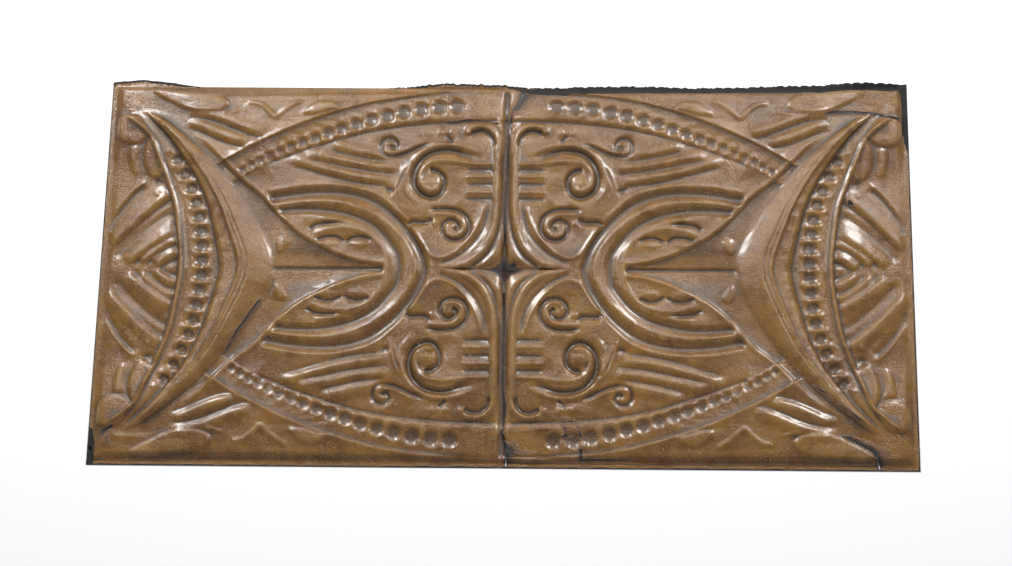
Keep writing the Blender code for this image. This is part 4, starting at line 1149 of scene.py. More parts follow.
@dataclass(frozen=True)
class Damage:
    """Holes, splits, creases and bends that age has left in the sheet."""

    holes: tuple[Hole, ...] = (
        Hole((0.0037, -0.2115), 0.0021),
        Hole((0.5180, 0.1085), 0.0026),
    )
    pit: Points = ((-0.0165, 0.0015), (-0.0100, 0.0100), (-0.0035, 0.0135), (0.0040, 0.0128),
                   (0.0120, 0.0120), (0.0165, 0.0080), (0.0215, 0.0040), (0.0170, -0.0035),
                   (0.0095, -0.0035), (0.0078, -0.0080), (0.0020, -0.0100), (-0.0015, -0.0075),
                   (-0.0030, -0.0030), (-0.0085, -0.0012))
    pit_floor: float = 0.0009
    pit_wall: float = 0.0030
    pit_shade: float = 0.0048
    cracks: tuple[Crack, ...] = (
        Crack(((0.023, -0.990), (0.025, -0.924), (0.021, -0.880), (0.001, -0.835)), 0.0020),
        Crack(((0.382, -0.912), (0.384, -0.94), (0.385, -0.963)), 0.0010),
        Crack(((0.084, 0.952), (0.062, 0.890), (0.040, 0.850)), 0.0016),
        Crack(((1.954, 0.806), (1.860, 0.822), (1.766, 0.835), (1.700, 0.840)), 0.0012),
        Crack(((1.807, -0.990), (1.781, -0.914), (1.731, -0.883), (1.638, -0.837)), 0.0018),
        Crack(((-1.930, -0.834), (-1.905, -0.826), (-1.880, -0.813)), 0.0012),
        Crack(((0.010, -0.012), (0.030, -0.010), (0.052, -0.002)), 0.0014),
    )
    creases: tuple[Points, ...] = (
        ((0.012, -0.700), (0.010, -0.779), (0.001, -0.835)),
        ((0.289, -0.742), (0.302, -0.80), (0.310, -0.845), (0.296, -0.849)),
        ((0.353, -0.759), (0.366, -0.80), (0.381, -0.844), (0.397, -0.855)),
        ((0.040, 0.850), (0.029, 0.827), (0.018, 0.771), (0.013, 0.697)),
        ((-0.300, 0.776), (-0.236, 0.777), (-0.190, 0.788), (-0.146, 0.793)),
        ((-1.952, -0.850), (-1.925, -0.870), (-1.891, -0.903)),
        ((1.500, -0.585), (1.610, -0.678), (1.715, -0.762)),
        ((-1.347, -0.422), (-1.310, -0.350), (-1.272, -0.285), (-1.230, -0.220),
         (-1.196, -0.164)),
        ((1.700, 0.840), (1.640, 0.838), (1.590, 0.826)),
        ((0.0, -0.12), (0.004, -0.30), (-0.003, -0.50), (0.008, -0.68)),
        ((0.004, 0.14), (-0.002, 0.30), (0.006, 0.50), (0.010, 0.69)),
    )
    bends: tuple[Bend, ...] = (
        Bend((0.040, -0.847), (0.009, 0.016), 70.0, 0.0020),
        Bend((-0.040, -0.880), (0.012, 0.026), 60.0, 0.0022),
        Bend((0.063, -0.919), (0.018, 0.010), 20.0, 0.0020),
        Bend((0.168, -0.948), (0.008, 0.016), 10.0, 0.0022),
        Bend((0.291, -0.708), (0.008, 0.012), 0.0, 0.0026),
        Bend((0.339, -0.708), (0.008, 0.012), 0.0, 0.0024),
        Bend((0.296, -0.875), (0.012, 0.010), 0.0, 0.0014),
        Bend((0.395, -0.895), (0.007, 0.014), -30.0, 0.0018),
        Bend((-0.040, 0.765), (0.007, 0.028), 22.0, 0.0045),
        Bend((-0.093, 0.852), (0.014, 0.011), 0.0, -0.0026),
        Bend((-0.093, 0.878), (0.018, 0.006), 10.0, 0.0022),
        Bend((0.030, 0.780), (0.007, 0.034), 4.0, -0.0040),
        Bend((-1.850, -0.885), (0.010, 0.030), 45.0, 0.0030),
        Bend((-1.925, -0.890), (0.016, 0.016), 0.0, -0.0018),
        Bend((1.86, 0.905), (0.030, 0.022), 10.0, 0.0018),
        Bend((1.79, 0.895), (0.014, 0.018), 30.0, -0.0016),
        Bend((1.92, -0.885), (0.010, 0.012), 0.0, 0.0022),
        Bend((0.018, 0.060), (0.026, 0.006), 4.0, 0.0010),
        Bend((-0.9, 0.55), (0.12, 0.07), 20.0, -0.0010),
        Bend((0.85, -0.62), (0.13, 0.06), -10.0, -0.0009),
        Bend((-1.35, -0.30), (0.10, 0.08), 0.0, 0.0008),
    )

    crumples: tuple[Bend, ...] = (
        Bend((1.85, 0.905), (0.050, 0.030), 0.0, 0.0016),
        Bend((-1.94, -0.90), (0.030, 0.030), 0.0, 0.0013),
        Bend((0.0, 0.87), (0.060, 0.030), 0.0, 0.0010),
        Bend((0.02, -0.93), (0.080, 0.024), 0.0, 0.0010),
        Bend((0.33, -0.80), (0.030, 0.050), 0.0, 0.0008),
    )
    folds: tuple[Ripple, ...] = (
        Ripple(1.0, (310.0, 120.0, 0.0), (-90.0, 350.0, 0.0)),
        Ripple(0.7, (700.0, -260.0, 1.0), (170.0, 610.0, 0.0)),
    )
    slack: tuple[Ripple, ...] = (
        Ripple(0.00050, (17.0, 5.3, 0.4), (-4.1, 13.0, 1.1)),
        Ripple(0.00025, (41.0, -23.0, 0.0), (11.0, 31.0, 0.0)),
        Ripple(0.00015, (97.0, 61.0, 2.0), (-35.0, 83.0, 0.0)),
    )
    slack_fade: float = 0.03

    def lift(self, x: np.ndarray, y: np.ndarray) -> np.ndarray:
        """Heights that bends, crumpled places and the sheet's slack add.

        Args:
            x: Metres along the length.
            y: Metres across the width.

        Returns:
            Metres to add at every place.
        """
        inner = (ease((SHEET.length / 2 - np.abs(x)) / self.slack_fade)
                 * ease((SHEET.width / 2 - np.abs(y)) / self.slack_fade))
        slack, bent, crumpled, folds = (
            sum(shape.height(x, y) for shape in shapes)
            for shapes in (self.slack, self.bends, self.crumples, self.folds))
        return slack * inner + bent + crumpled * folds

    def torn_middle(self, x: np.ndarray, y: np.ndarray, wall: float) -> np.ndarray:
        """Find the torn middle.

        Args:
            x: Metres along the length.
            y: Metres across the width.
            wall: Width in metres over which its edge fades.

        Returns:
            1 inside the torn middle, 0 outside.
        """
        at = Places(x / SHEET.half_repeat, y / SHEET.half_repeat)
        corners = tuple((cx / SHEET.half_repeat, cy / SHEET.half_repeat) for cx, cy in self.pit)
        return at.plate(corners, wall)

    def pushed_in(self, x: np.ndarray, y: np.ndarray, z: np.ndarray) -> np.ndarray:
        """Heights with the torn middle pushed down to the boards.

        Args:
            x: Metres along the length.
            y: Metres across the width.
            z: Heights before.

        Returns:
            Heights after.
        """
        share = self.torn_middle(x, y, self.pit_wall)
        return z + (np.minimum(z, self.pit_floor) - z) * share

    def near_split(self, x: np.ndarray, y: np.ndarray, reach: float) -> np.ndarray:
        """How near places are to a hole, a split or a crease.

        Args:
            x: Metres along the length.
            y: Metres across the width.
            reach: Metres at which the share is down to nothing.

        Returns:
            1 at a hole or split, 0 beyond the reach.
        """
        at = Places(x / SHEET.half_repeat, y / SHEET.half_repeat)
        lines = [np.array(shape.outline()) / SHEET.half_repeat
                 for shape in (*self.holes, *self.cracks)]
        lines += [smooth_curve(line) for line in self.creases]
        share = np.zeros(x.shape)
        for line in lines:
            mask = at.near(line, reach)
            gap, _, _ = at.along(line, mask)
            share[mask] = np.maximum(share[mask], 1 - gap / reach)
        return share


@dataclass(frozen=True)
class Margin:
    """Bare dark metal along one edge, which widens from a place on, in metres."""

    narrow: float
    gain: float = 0.0
    start: float = 0.0
    run: float = 1.0

    def width(self, place: np.ndarray) -> np.ndarray:
        """Width of the bare metal at places along the edge."""
        return self.narrow + self.gain * ease((place - self.start) / self.run)


class SheetBuilder:
    """Models the pressed sheet."""

    weld = 0.00005
    border_reach = 0.0009
    rim_strips = 3
    sharp_angle = math.radians(50)
    box_gap = 0.00001
    cutter_floor = -0.02
    cutter_height = 0.06
    tear_start = 5
    curl_start = 4
    curl_share = 0.6
    curl_shift = 0.4
    split_reach = 0.010
    far_margin = Margin(0.0035, 0.0105, -0.01, 0.06)
    near_margin = Margin(0.0022)
    right_margin = Margin(0.0020, 0.0075, 0.19, 0.03)
    left_margin = Margin(0.0015, 0.0095, 0.245, 0.012)
    patch_from = (0.520, 0.250)
    patch_run = (0.012, 0.010)
    patch_end = 0.600
    patch_end_run = 0.006

    def __init__(self) -> None:
        """Work out the relief that the sheet is pressed to."""
        self.relief = ReliefMap(Pattern(), SHEET.grid_step)
        self.damage = Damage()
        self.worn = WornEdge()
        self.inner = Vector((SHEET.length / 2 - SHEET.rim, SHEET.width / 2 - SHEET.rim))

    def build(self) -> bpy.types.Object:
        """Whole sheet with its thickness, its worn edge, holes and splits.

        Returns:
            The finished sheet.
        """
        quarter = self.pressed_quarter()
        self.square_border(quarter.data)
        self.draw_out_rim(quarter)
        self.apply(quarter, "MIRROR", use_axis=(True, True, False),
                   merge_threshold=self.weld)
        self.age(quarter.data)
        self.thicken(quarter)
        self.apply(quarter, "BOOLEAN", operation="DIFFERENCE", solver="EXACT",
                   object=self.cutters())
        bpy.data.objects.remove(bpy.data.objects["cutters"])
        quarter.name = "tin_sheet"
        self.store_masks(quarter.data)
        bpy.ops.object.shade_smooth_by_angle(angle=self.sharp_angle)
        return quarter

    @staticmethod
    def select(obj: bpy.types.Object) -> None:
        """Make one object the only selected one.

        Args:
            obj: The object.
        """
        bpy.ops.object.select_all(action="DESELECT")
        obj.select_set(True)
        bpy.context.view_layer.objects.active = obj

    @classmethod
    def apply(cls, obj: bpy.types.Object, kind: str, **settings: object) -> None:
        """Put a modifier on an object and apply it.

        Args:
            obj: The object.
            kind: The modifier's type.
            **settings: Its settings.
        """
        cls.select(obj)
        modifier = obj.modifiers.new(kind.lower(), kind)
        for name, value in settings.items():
            setattr(modifier, name, value)
        bpy.ops.object.modifier_apply(modifier=modifier.name)

    @staticmethod
    def places(mesh: bpy.types.Mesh) -> np.ndarray:
        """Places of a mesh's vertices, one row each.

        Args:
            mesh: The mesh.

        Returns:
            Their coordinates in metres.
        """
        flat = np.empty(len(mesh.vertices) * 3, np.float32)
        mesh.vertices.foreach_get("co", flat)
        return flat.reshape(-1, 3).astype(float)

    @staticmethod
    def put(mesh: bpy.types.Mesh, places: np.ndarray) -> None:
        """Move a mesh's vertices to new places."""
        mesh.vertices.foreach_set("co", places.astype(np.float32).ravel())
        mesh.update()

    def pressed_quarter(self) -> bpy.types.Object:
        """Fine grid over a quarter inside the rim, pressed to its heights and thinned.

        Returns:
            The quarter's face.
        """
        columns = round(self.inner.x / SHEET.grid_step)
        rows = round(self.inner.y / SHEET.grid_step)
        bpy.ops.mesh.primitive_grid_add(x_subdivisions=columns, y_subdivisions=rows, size=1)
        quarter = bpy.context.object
        co = (self.places(quarter.data) + 0.5) * (self.inner.x, self.inner.y, 0)
        co[:, 2] = SHEET.thickness + self.relief.sample(self.relief.height, co[:, 0], co[:, 1])
        self.put(quarter.data, co)
        self.apply(quarter, "TRIANGULATE")
        inside = (self.inner.x - co[:, 0] > SHEET.grid_step * 0.5) \
            & (self.inner.y - co[:, 1] > SHEET.grid_step * 0.5)
        self.thin_out(quarter, inside, SHEET.front_triangles / 4)
        return quarter

    def thin_out(self, obj: bpy.types.Object, free: np.ndarray, triangles: float) -> None:
        """Merge a mesh's smallest triangles until a number is left.

        Args:
            obj: The object.
            free: Mask of the vertices that may be merged.
            triangles: How many triangles to leave.
        """
        group = obj.vertex_groups.new(name="free")
        group.add(np.flatnonzero(free).tolist(), 1.0, "REPLACE")
        now = sum(len(face.vertices) - 2 for face in obj.data.polygons)
        self.apply(obj, "DECIMATE", ratio=triangles / now, vertex_group=group.name)
        obj.vertex_groups.clear()

    def square_border(self, mesh: bpy.types.Mesh) -> None:
        """Put the quarter's border back on straight lines, the outer two at rim height.

        Args:
            mesh: The quarter's mesh.
        """
        bm = bmesh.new()
        bm.from_mesh(mesh)
        for vert in {vert for edge in bm.edges if edge.is_boundary for vert in edge.verts}:
            for axis in (0, 1):
                if abs(vert.co[axis]) < self.border_reach:
                    vert.co[axis] = 0
                if abs(self.inner[axis] - vert.co[axis]) < self.border_reach:
                    vert.co[axis] = self.inner[axis]
                    vert.co.z = SHEET.thickness
        bm.to_mesh(mesh)
        bm.free()

    def draw_out_rim(self, quarter: bpy.types.Object) -> None:
        """Extrude the quarter's two outer borders into the flat nailing rim, strip by strip.

        Args:
            quarter: The quarter's face.
        """
        mesh = quarter.data
        width = SHEET.rim / self.rim_strips
        self.select(quarter)
        for strip in range(self.rim_strips):
            border = [size + width * strip - self.weld for size in self.inner]
            co = self.places(mesh)
            for vertex in mesh.vertices:
                vertex.select = False
            for polygon in mesh.polygons:
                polygon.select = False
            for edge in mesh.edges:
                a, b = (co[k] for k in edge.vertices)
                edge.select = any(min(a[k], b[k]) > border[k] for k in (0, 1))
            bpy.ops.object.mode_set(mode="EDIT")
            bpy.ops.mesh.select_mode(type="EDGE")
            bpy.ops.mesh.extrude_edges_move()
            bpy.ops.object.mode_set(mode="OBJECT")
            moved = np.empty(len(mesh.vertices), bool)
            mesh.vertices.foreach_get("select", moved)
            co = self.places(mesh)
            for axis in (0, 1):
                co[moved & (co[:, axis] > border[axis]), axis] += width
            self.put(mesh, co)

    def age(self, mesh: bpy.types.Mesh) -> None:
        """Wear the far edge back and bend the sheet as it is now.

        Args:
            mesh: The whole face's mesh.
        """
        co = self.places(mesh)
        co[:, 2] += self.damage.lift(co[:, 0], co[:, 1])
        co[:, 2] = self.damage.pushed_in(co[:, 0], co[:, 1], co[:, 2])
        start = self.worn.worn_from * SHEET.width / 2
        share = np.clip((co[:, 1] - start) / (SHEET.width / 2 - start), 0, 1)
        reach = self.worn.reach(co[:, 0]) - self.worn.torn(co[:, 0]) * share ** self.tear_start
        co[:, 1] = np.where(share > 0, start + share * (reach - start), co[:, 1])
        co[:, 2] += (self.curl_share * self.worn.torn(co[:, 0] + self.curl_shift)
                     * share ** self.curl_start)
        self.put(mesh, co)

    def thicken(self, sheet: bpy.types.Object) -> None:
        """Extrude the face down by the sheet's thickness, and keep it inside its solid.

        Args:
            sheet: The whole face.
        """
        mesh = sheet.data
        self.select(sheet)
        bpy.ops.object.mode_set(mode="EDIT")
        bpy.ops.mesh.select_all(action="SELECT")
        bpy.ops.mesh.extrude_region_move(TRANSFORM_OT_translate={
            "value": (0, 0, -SHEET.thickness)})
        bpy.ops.object.mode_set(mode="OBJECT")
        moved = np.empty(len(mesh.vertices), bool)
        mesh.vertices.foreach_get("select", moved)
        bpy.ops.object.mode_set(mode="EDIT")
        bpy.ops.mesh.select_all(action="SELECT")
        bpy.ops.mesh.normals_make_consistent(inside=False)
        bpy.ops.object.mode_set(mode="OBJECT")
        low, high = (np.array(corner) for corner in CAD_BOX)
        self.put(mesh, np.clip(self.places(mesh), low + self.box_gap, high - self.box_gap))
        self.keep(mesh, Mask.BACK, moved)

    @staticmethod
    def keep(mesh: bpy.types.Mesh, mask: Mask, values: np.ndarray) -> None:
        """Keep one number on every vertex.

        Args:
            mesh: The mesh.
            mask: What the number says.
            values: The numbers, one for each vertex.
        """
        layer = mesh.attributes.new(mask.value, "FLOAT", "POINT")
        layer.data.foreach_set("value", values.astype(np.float32))

    def cutters(self) -> bpy.types.Object:
        """One object with an upright prism for each hole and split.

        Returns:
            The joined prisms.
        """
        prisms = []
        for shape in (*self.damage.holes, *self.damage.cracks):
            outline = shape.outline()
            bpy.ops.mesh.primitive_circle_add(vertices=len(outline), fill_type="NGON")
            prism = bpy.context.object
            self.put(prism.data, np.array([(x, y, self.cutter_floor) for x, y in outline]))
            bpy.ops.object.mode_set(mode="EDIT")
            bpy.ops.mesh.select_all(action="SELECT")
            bpy.ops.mesh.extrude_region_move(TRANSFORM_OT_translate={
                "value": (0, 0, self.cutter_height)})
            bpy.ops.mesh.select_all(action="SELECT")
            bpy.ops.mesh.normals_make_consistent(inside=False)
            bpy.ops.object.mode_set(mode="OBJECT")
            prisms.append(prism)
        self.select(prisms[0])
        for prism in prisms:
            prism.select_set(True)
        bpy.ops.object.join()
        prisms[0].name = "cutters"
        return prisms[0]

    def store_masks(self, mesh: bpy.types.Mesh) -> None:
        """Keep on every vertex what the paint needs to know about its place.

        Args:
            mesh: The finished sheet's mesh.
        """
        x, y, _ = self.places(mesh).T
        pressed_y = self.worn.pressed_place(x, y)
        far_edge = self.worn.reach(x) - self.worn.torn(x)
        bare = np.maximum.reduce((self.far_margin.width(x) - (far_edge - y),
                                  self.near_margin.width(x) - (y + SHEET.width / 2),
                                  self.right_margin.width(y) - (SHEET.length / 2 - x),
                                  self.left_margin.width(-y) - (x + SHEET.length / 2)))
        patch = (ease((x - self.patch_from[0]) / self.patch_run[0])
                 * ease((y - self.patch_from[1]) / self.patch_run[1])
                 * ease((self.patch_end - x) / self.patch_end_run))
        hollow, crevice = (self.relief.sample(grid, x, pressed_y)
                           for grid in (self.relief.hollow, self.relief.crevice))
        self.keep(mesh, Mask.HOLLOW, hollow * MM_IN_METRE)
        self.keep(mesh, Mask.CREVICE, crevice * MM_IN_METRE)
        self.keep(mesh, Mask.BARE, bare * MM_IN_METRE)
        self.keep(mesh, Mask.SPLIT, self.damage.near_split(x, y, self.split_reach))
        self.keep(mesh, Mask.PIT, self.damage.torn_middle(x, y, self.damage.pit_shade))
        self.keep(mesh, Mask.PATCH, patch)


@dataclass(frozen=True)
class Cloud:
    """Cloudy pattern: clouds in a metre, finer layers, how strong those are, and stretch."""

    scale: float
    detail: float = 4.0
    rough: float = 0.55
    stretch: tuple[float, float, float] = (1.0, 1.0, 1.0)


class Num:
    """A number in the shader, with ordinary arithmetic."""

    def __init__(self, nodes: "Nodes", socket: bpy.types.NodeSocket | float) -> None:
        """Keep the number.

        Args:
            nodes: Where its sums are made.
            socket: The socket that gives it, or a plain number.
        """
        self.nodes = nodes
        self.socket = socket

    def sum(self, kind: Sum, a: "Num | float", b: "Num | float") -> "Num":
        """One sum of two numbers.

        Args:
            kind: Which sum.
            a: First number.
            b: Second number.

        Returns:
            The result.
        """
        node = self.nodes.add("ShaderNodeMath", {"operation": kind.value}, {0: a, 1: b})
        return Num(self.nodes, node.outputs[0])

    def __add__(self, other: "Num | float") -> "Num":
        """This number plus another."""
        return self.sum(Sum.ADD, self, other)

    def __radd__(self, other: float) -> "Num":
        """Another number plus this one."""
        return self.sum(Sum.ADD, other, self)

    def __sub__(self, other: "Num | float") -> "Num":
        """This number less another."""
        return self.sum(Sum.SUBTRACT, self, other)

    def __rsub__(self, other: float) -> "Num":
        """Another number less this one."""
        return self.sum(Sum.SUBTRACT, other, self)

    def __mul__(self, other: "Num | float") -> "Num":
        """This number times another."""
        return self.sum(Sum.MULTIPLY, self, other)

    def __rmul__(self, other: float) -> "Num":
        """Another number times this one."""
        return self.sum(Sum.MULTIPLY, other, self)

    def rise(self, low: float, high: float) -> "Num":
        """Smooth step of this number.

        Args:
            low: Where the step is 0.
            high: Where it is 1.

        Returns:
            The step.
        """
        node = self.nodes.add("ShaderNodeMapRange", {"interpolation_type": "SMOOTHSTEP"},
                              {"Value": self, "From Min": low, "From Max": high})
        return Num(self.nodes, node.outputs["Result"])


class Nodes:
    """Writes the nodes of one material."""

    def __init__(self, material: bpy.types.Material) -> None:
        """Start on a material's own nodes.

        Args:
            material: The material.
        """
        material.use_nodes = True
        self.tree = material.node_tree
        self.shader = self.tree.nodes["Principled BSDF"]
        self.place = self.add("ShaderNodeTexCoord").outputs["Object"]

    def add(self, kind: str, settings: dict[str, object] | None = None,
            sockets: dict[int | str, object] | None = None) -> bpy.types.Node:
        """Add a node.

        Args:
            kind: Its type.
            settings: Its own settings by name.
            sockets: What goes into its inputs: numbers, colours, sockets or Num.

        Returns:
            The node.
        """
        node = self.tree.nodes.new(kind)
        for name, value in (settings or {}).items():
            setattr(node, name, value)
        for name, value in (sockets or {}).items():
            self.feed(node.inputs[name], value)
        return node

    def feed(self, socket: bpy.types.NodeSocket, value: object) -> None:
        """Put a number, a colour or another socket into an input.

        Args:
            socket: The input.
            value: What goes into it.
        """
        value = value.socket if isinstance(value, Num) else value
        if isinstance(value, bpy.types.NodeSocket):
            self.tree.links.new(value, socket)
        else:
            socket.default_value = value

    def mask(self, mask: Mask) -> Num:
        """A number that the mesh keeps for every vertex."""
        node = self.add("ShaderNodeAttribute", {"attribute_name": mask.value})
        return Num(self, node.outputs["Fac"])

    def along(self, axis: int) -> Num:
        """Place along one axis, in metres."""
        node = self.add("ShaderNodeSeparateXYZ", None, {0: self.place})
        return Num(self, node.outputs[axis])

    def noise(self, cloud: Cloud) -> Num:
        """Cloudy pattern between 0 and 1.

        Args:
            cloud: Its sizes.

        Returns:
            Its number.
        """
        moved = self.add("ShaderNodeMapping", None, {"Vector": self.place, "Scale": cloud.stretch})
        node = self.add("ShaderNodeTexNoise", None,
                        {"Vector": moved.outputs[0], "Scale": cloud.scale,
                         "Detail": cloud.detail, "Roughness": cloud.rough})
        return Num(self, node.outputs["Fac"])

    def bump(self, height: Num, strength: float, distance: float,
             under: bpy.types.NodeSocket | None = None) -> bpy.types.NodeSocket:
        """Fine unevenness of the surface.

        Args:
            height: Its height.
            strength: How much of it shows.
            distance: Metres of a height of 1.
            under: A coarser unevenness that it lies on.

        Returns:
            The socket of the surface's direction.
        """
        sockets = {"Strength": strength, "Distance": distance, "Height": height}
        if under is not None:
            sockets["Normal"] = under
        return self.add("ShaderNodeBump", None, sockets).outputs[0]

    def mix(self, share: Num | float, a: object, b: object) -> bpy.types.NodeSocket:
        """Mix of two colours.

        Args:
            share: 0 for the first, 1 for the second.
            a: First colour.
            b: Second colour.

        Returns:
            The mixed colour's socket.
        """
        node = self.add("ShaderNodeMix", {"data_type": "RGBA"})
        for socket, value in zip((node.inputs[0], node.inputs[6], node.inputs[7]),
                                 (share, a, b)):
            self.feed(socket, value)
        return node.outputs[2]


def srgb(red: int, green: int, blue: int) -> tuple[float, float, float, float]:
    """Linear colour of a colour written in steps of 255.

    Args:
        red: Red, from 0 to 255.
        green: Green.
        blue: Blue.

    Returns:
        Its linear red, green, blue and alpha.
    """
    parts = [c / 255 for c in (red, green, blue)]
    linear = [c / 12.92 if c <= 0.04045 else ((c + 0.055) / 1.055) ** 2.4 for c in parts]
    return (*linear, 1.0)


@dataclass(frozen=True)
class Clouds:
    """Cloudy patterns that break the paint up, from large to fine."""

    large: Cloud = Cloud(7.0, 5.0)
    pit_fields: Cloud = Cloud(18.0, 2.0)
    dot_fields: Cloud = Cloud(22.0)
    mottle: Cloud = Cloud(48.0, 5.0, 0.6)
    ripple: Cloud = Cloud(130.0, 3.0, 0.55)
    grain: Cloud = Cloud(380.0, 3.0, 0.65)
    pits: Cloud = Cloud(520.0, 2.0, 0.6, (1.0, 1.3, 1.0))
    dots: Cloud = Cloud(560.0, 2.0, 0.6)


class Wear:
    """Where the paint is dusted, grimed, rusted or bare, and where painted shade, painted sheen and
    painted highlights lie, as numbers in the shader.
    """

    def __init__(self, nodes: Nodes, sizes: Clouds) -> None:
        """Work every share out.

        Args:
            nodes: The material's nodes.
            sizes: The cloudy patterns.
        """
        self.clouds, self.mottle, self.grain, self.ripple = (
            nodes.noise(cloud) for cloud in (sizes.large, sizes.mottle, sizes.grain, sizes.ripple))
        self.back, self.pit, self.patch = (
            nodes.mask(mask) for mask in (Mask.BACK, Mask.PIT, Mask.PATCH))
        hollow, crevice, split, bare = (
            nodes.mask(mask) for mask in (Mask.HOLLOW, Mask.CREVICE, Mask.SPLIT, Mask.BARE))
        off_mottle, off_grain = self.mottle - 0.5, self.grain - 0.5
        # Share towards the far edge; the greying it drives over the far half is painted sheen.
        self.far = nodes.along(1).rise(-0.20, 0.28)
        # Raised crests lighter: worn paint and a painted highlight.
        self.rubbed_and_highlit = (0.0 - hollow).rise(0.1, 1.8) * self.mottle.rise(0.30, 0.62)
        # Greyer, darker paint in hollows, partly dirt and partly painted shade, made stronger over the
        # far half as painted sheen.
        self.dust_shade_and_sheen = hollow.rise(0.0, 1.8) * (0.20 + self.far * 0.80)
        # Dark lines in narrow crevices: painted shade with some dirt.
        self.crevice_shade_and_grime = crevice.rise(0.08, 0.75) * (0.45 + self.grain.rise(0.2, 0.55) * 0.55)
        self.dots = (nodes.noise(sizes.dots).rise(0.62, 0.68)
                     * nodes.noise(sizes.dot_fields).rise(0.38, 0.60))
        self.pits = (nodes.noise(sizes.pits).rise(0.665, 0.70)
                     * nodes.noise(sizes.pit_fields).rise(0.40, 0.65))
        self.flaked = (self.patch * 0.5 + self.mottle * 0.5).rise(0.62, 0.80)
        self.rusty = (split * 0.9 + off_mottle * 1.1 + off_grain * 0.5).rise(0.42, 0.80)
        self.black = (split + off_grain * 0.5).rise(0.80, 0.92)
        self.margin = ((bare * 0.30 + off_mottle * 1.6 + off_grain * 0.9).rise(-0.10, 0.22)
                       * (bare * 0.16 + 0.6).rise(0.0, 0.3))


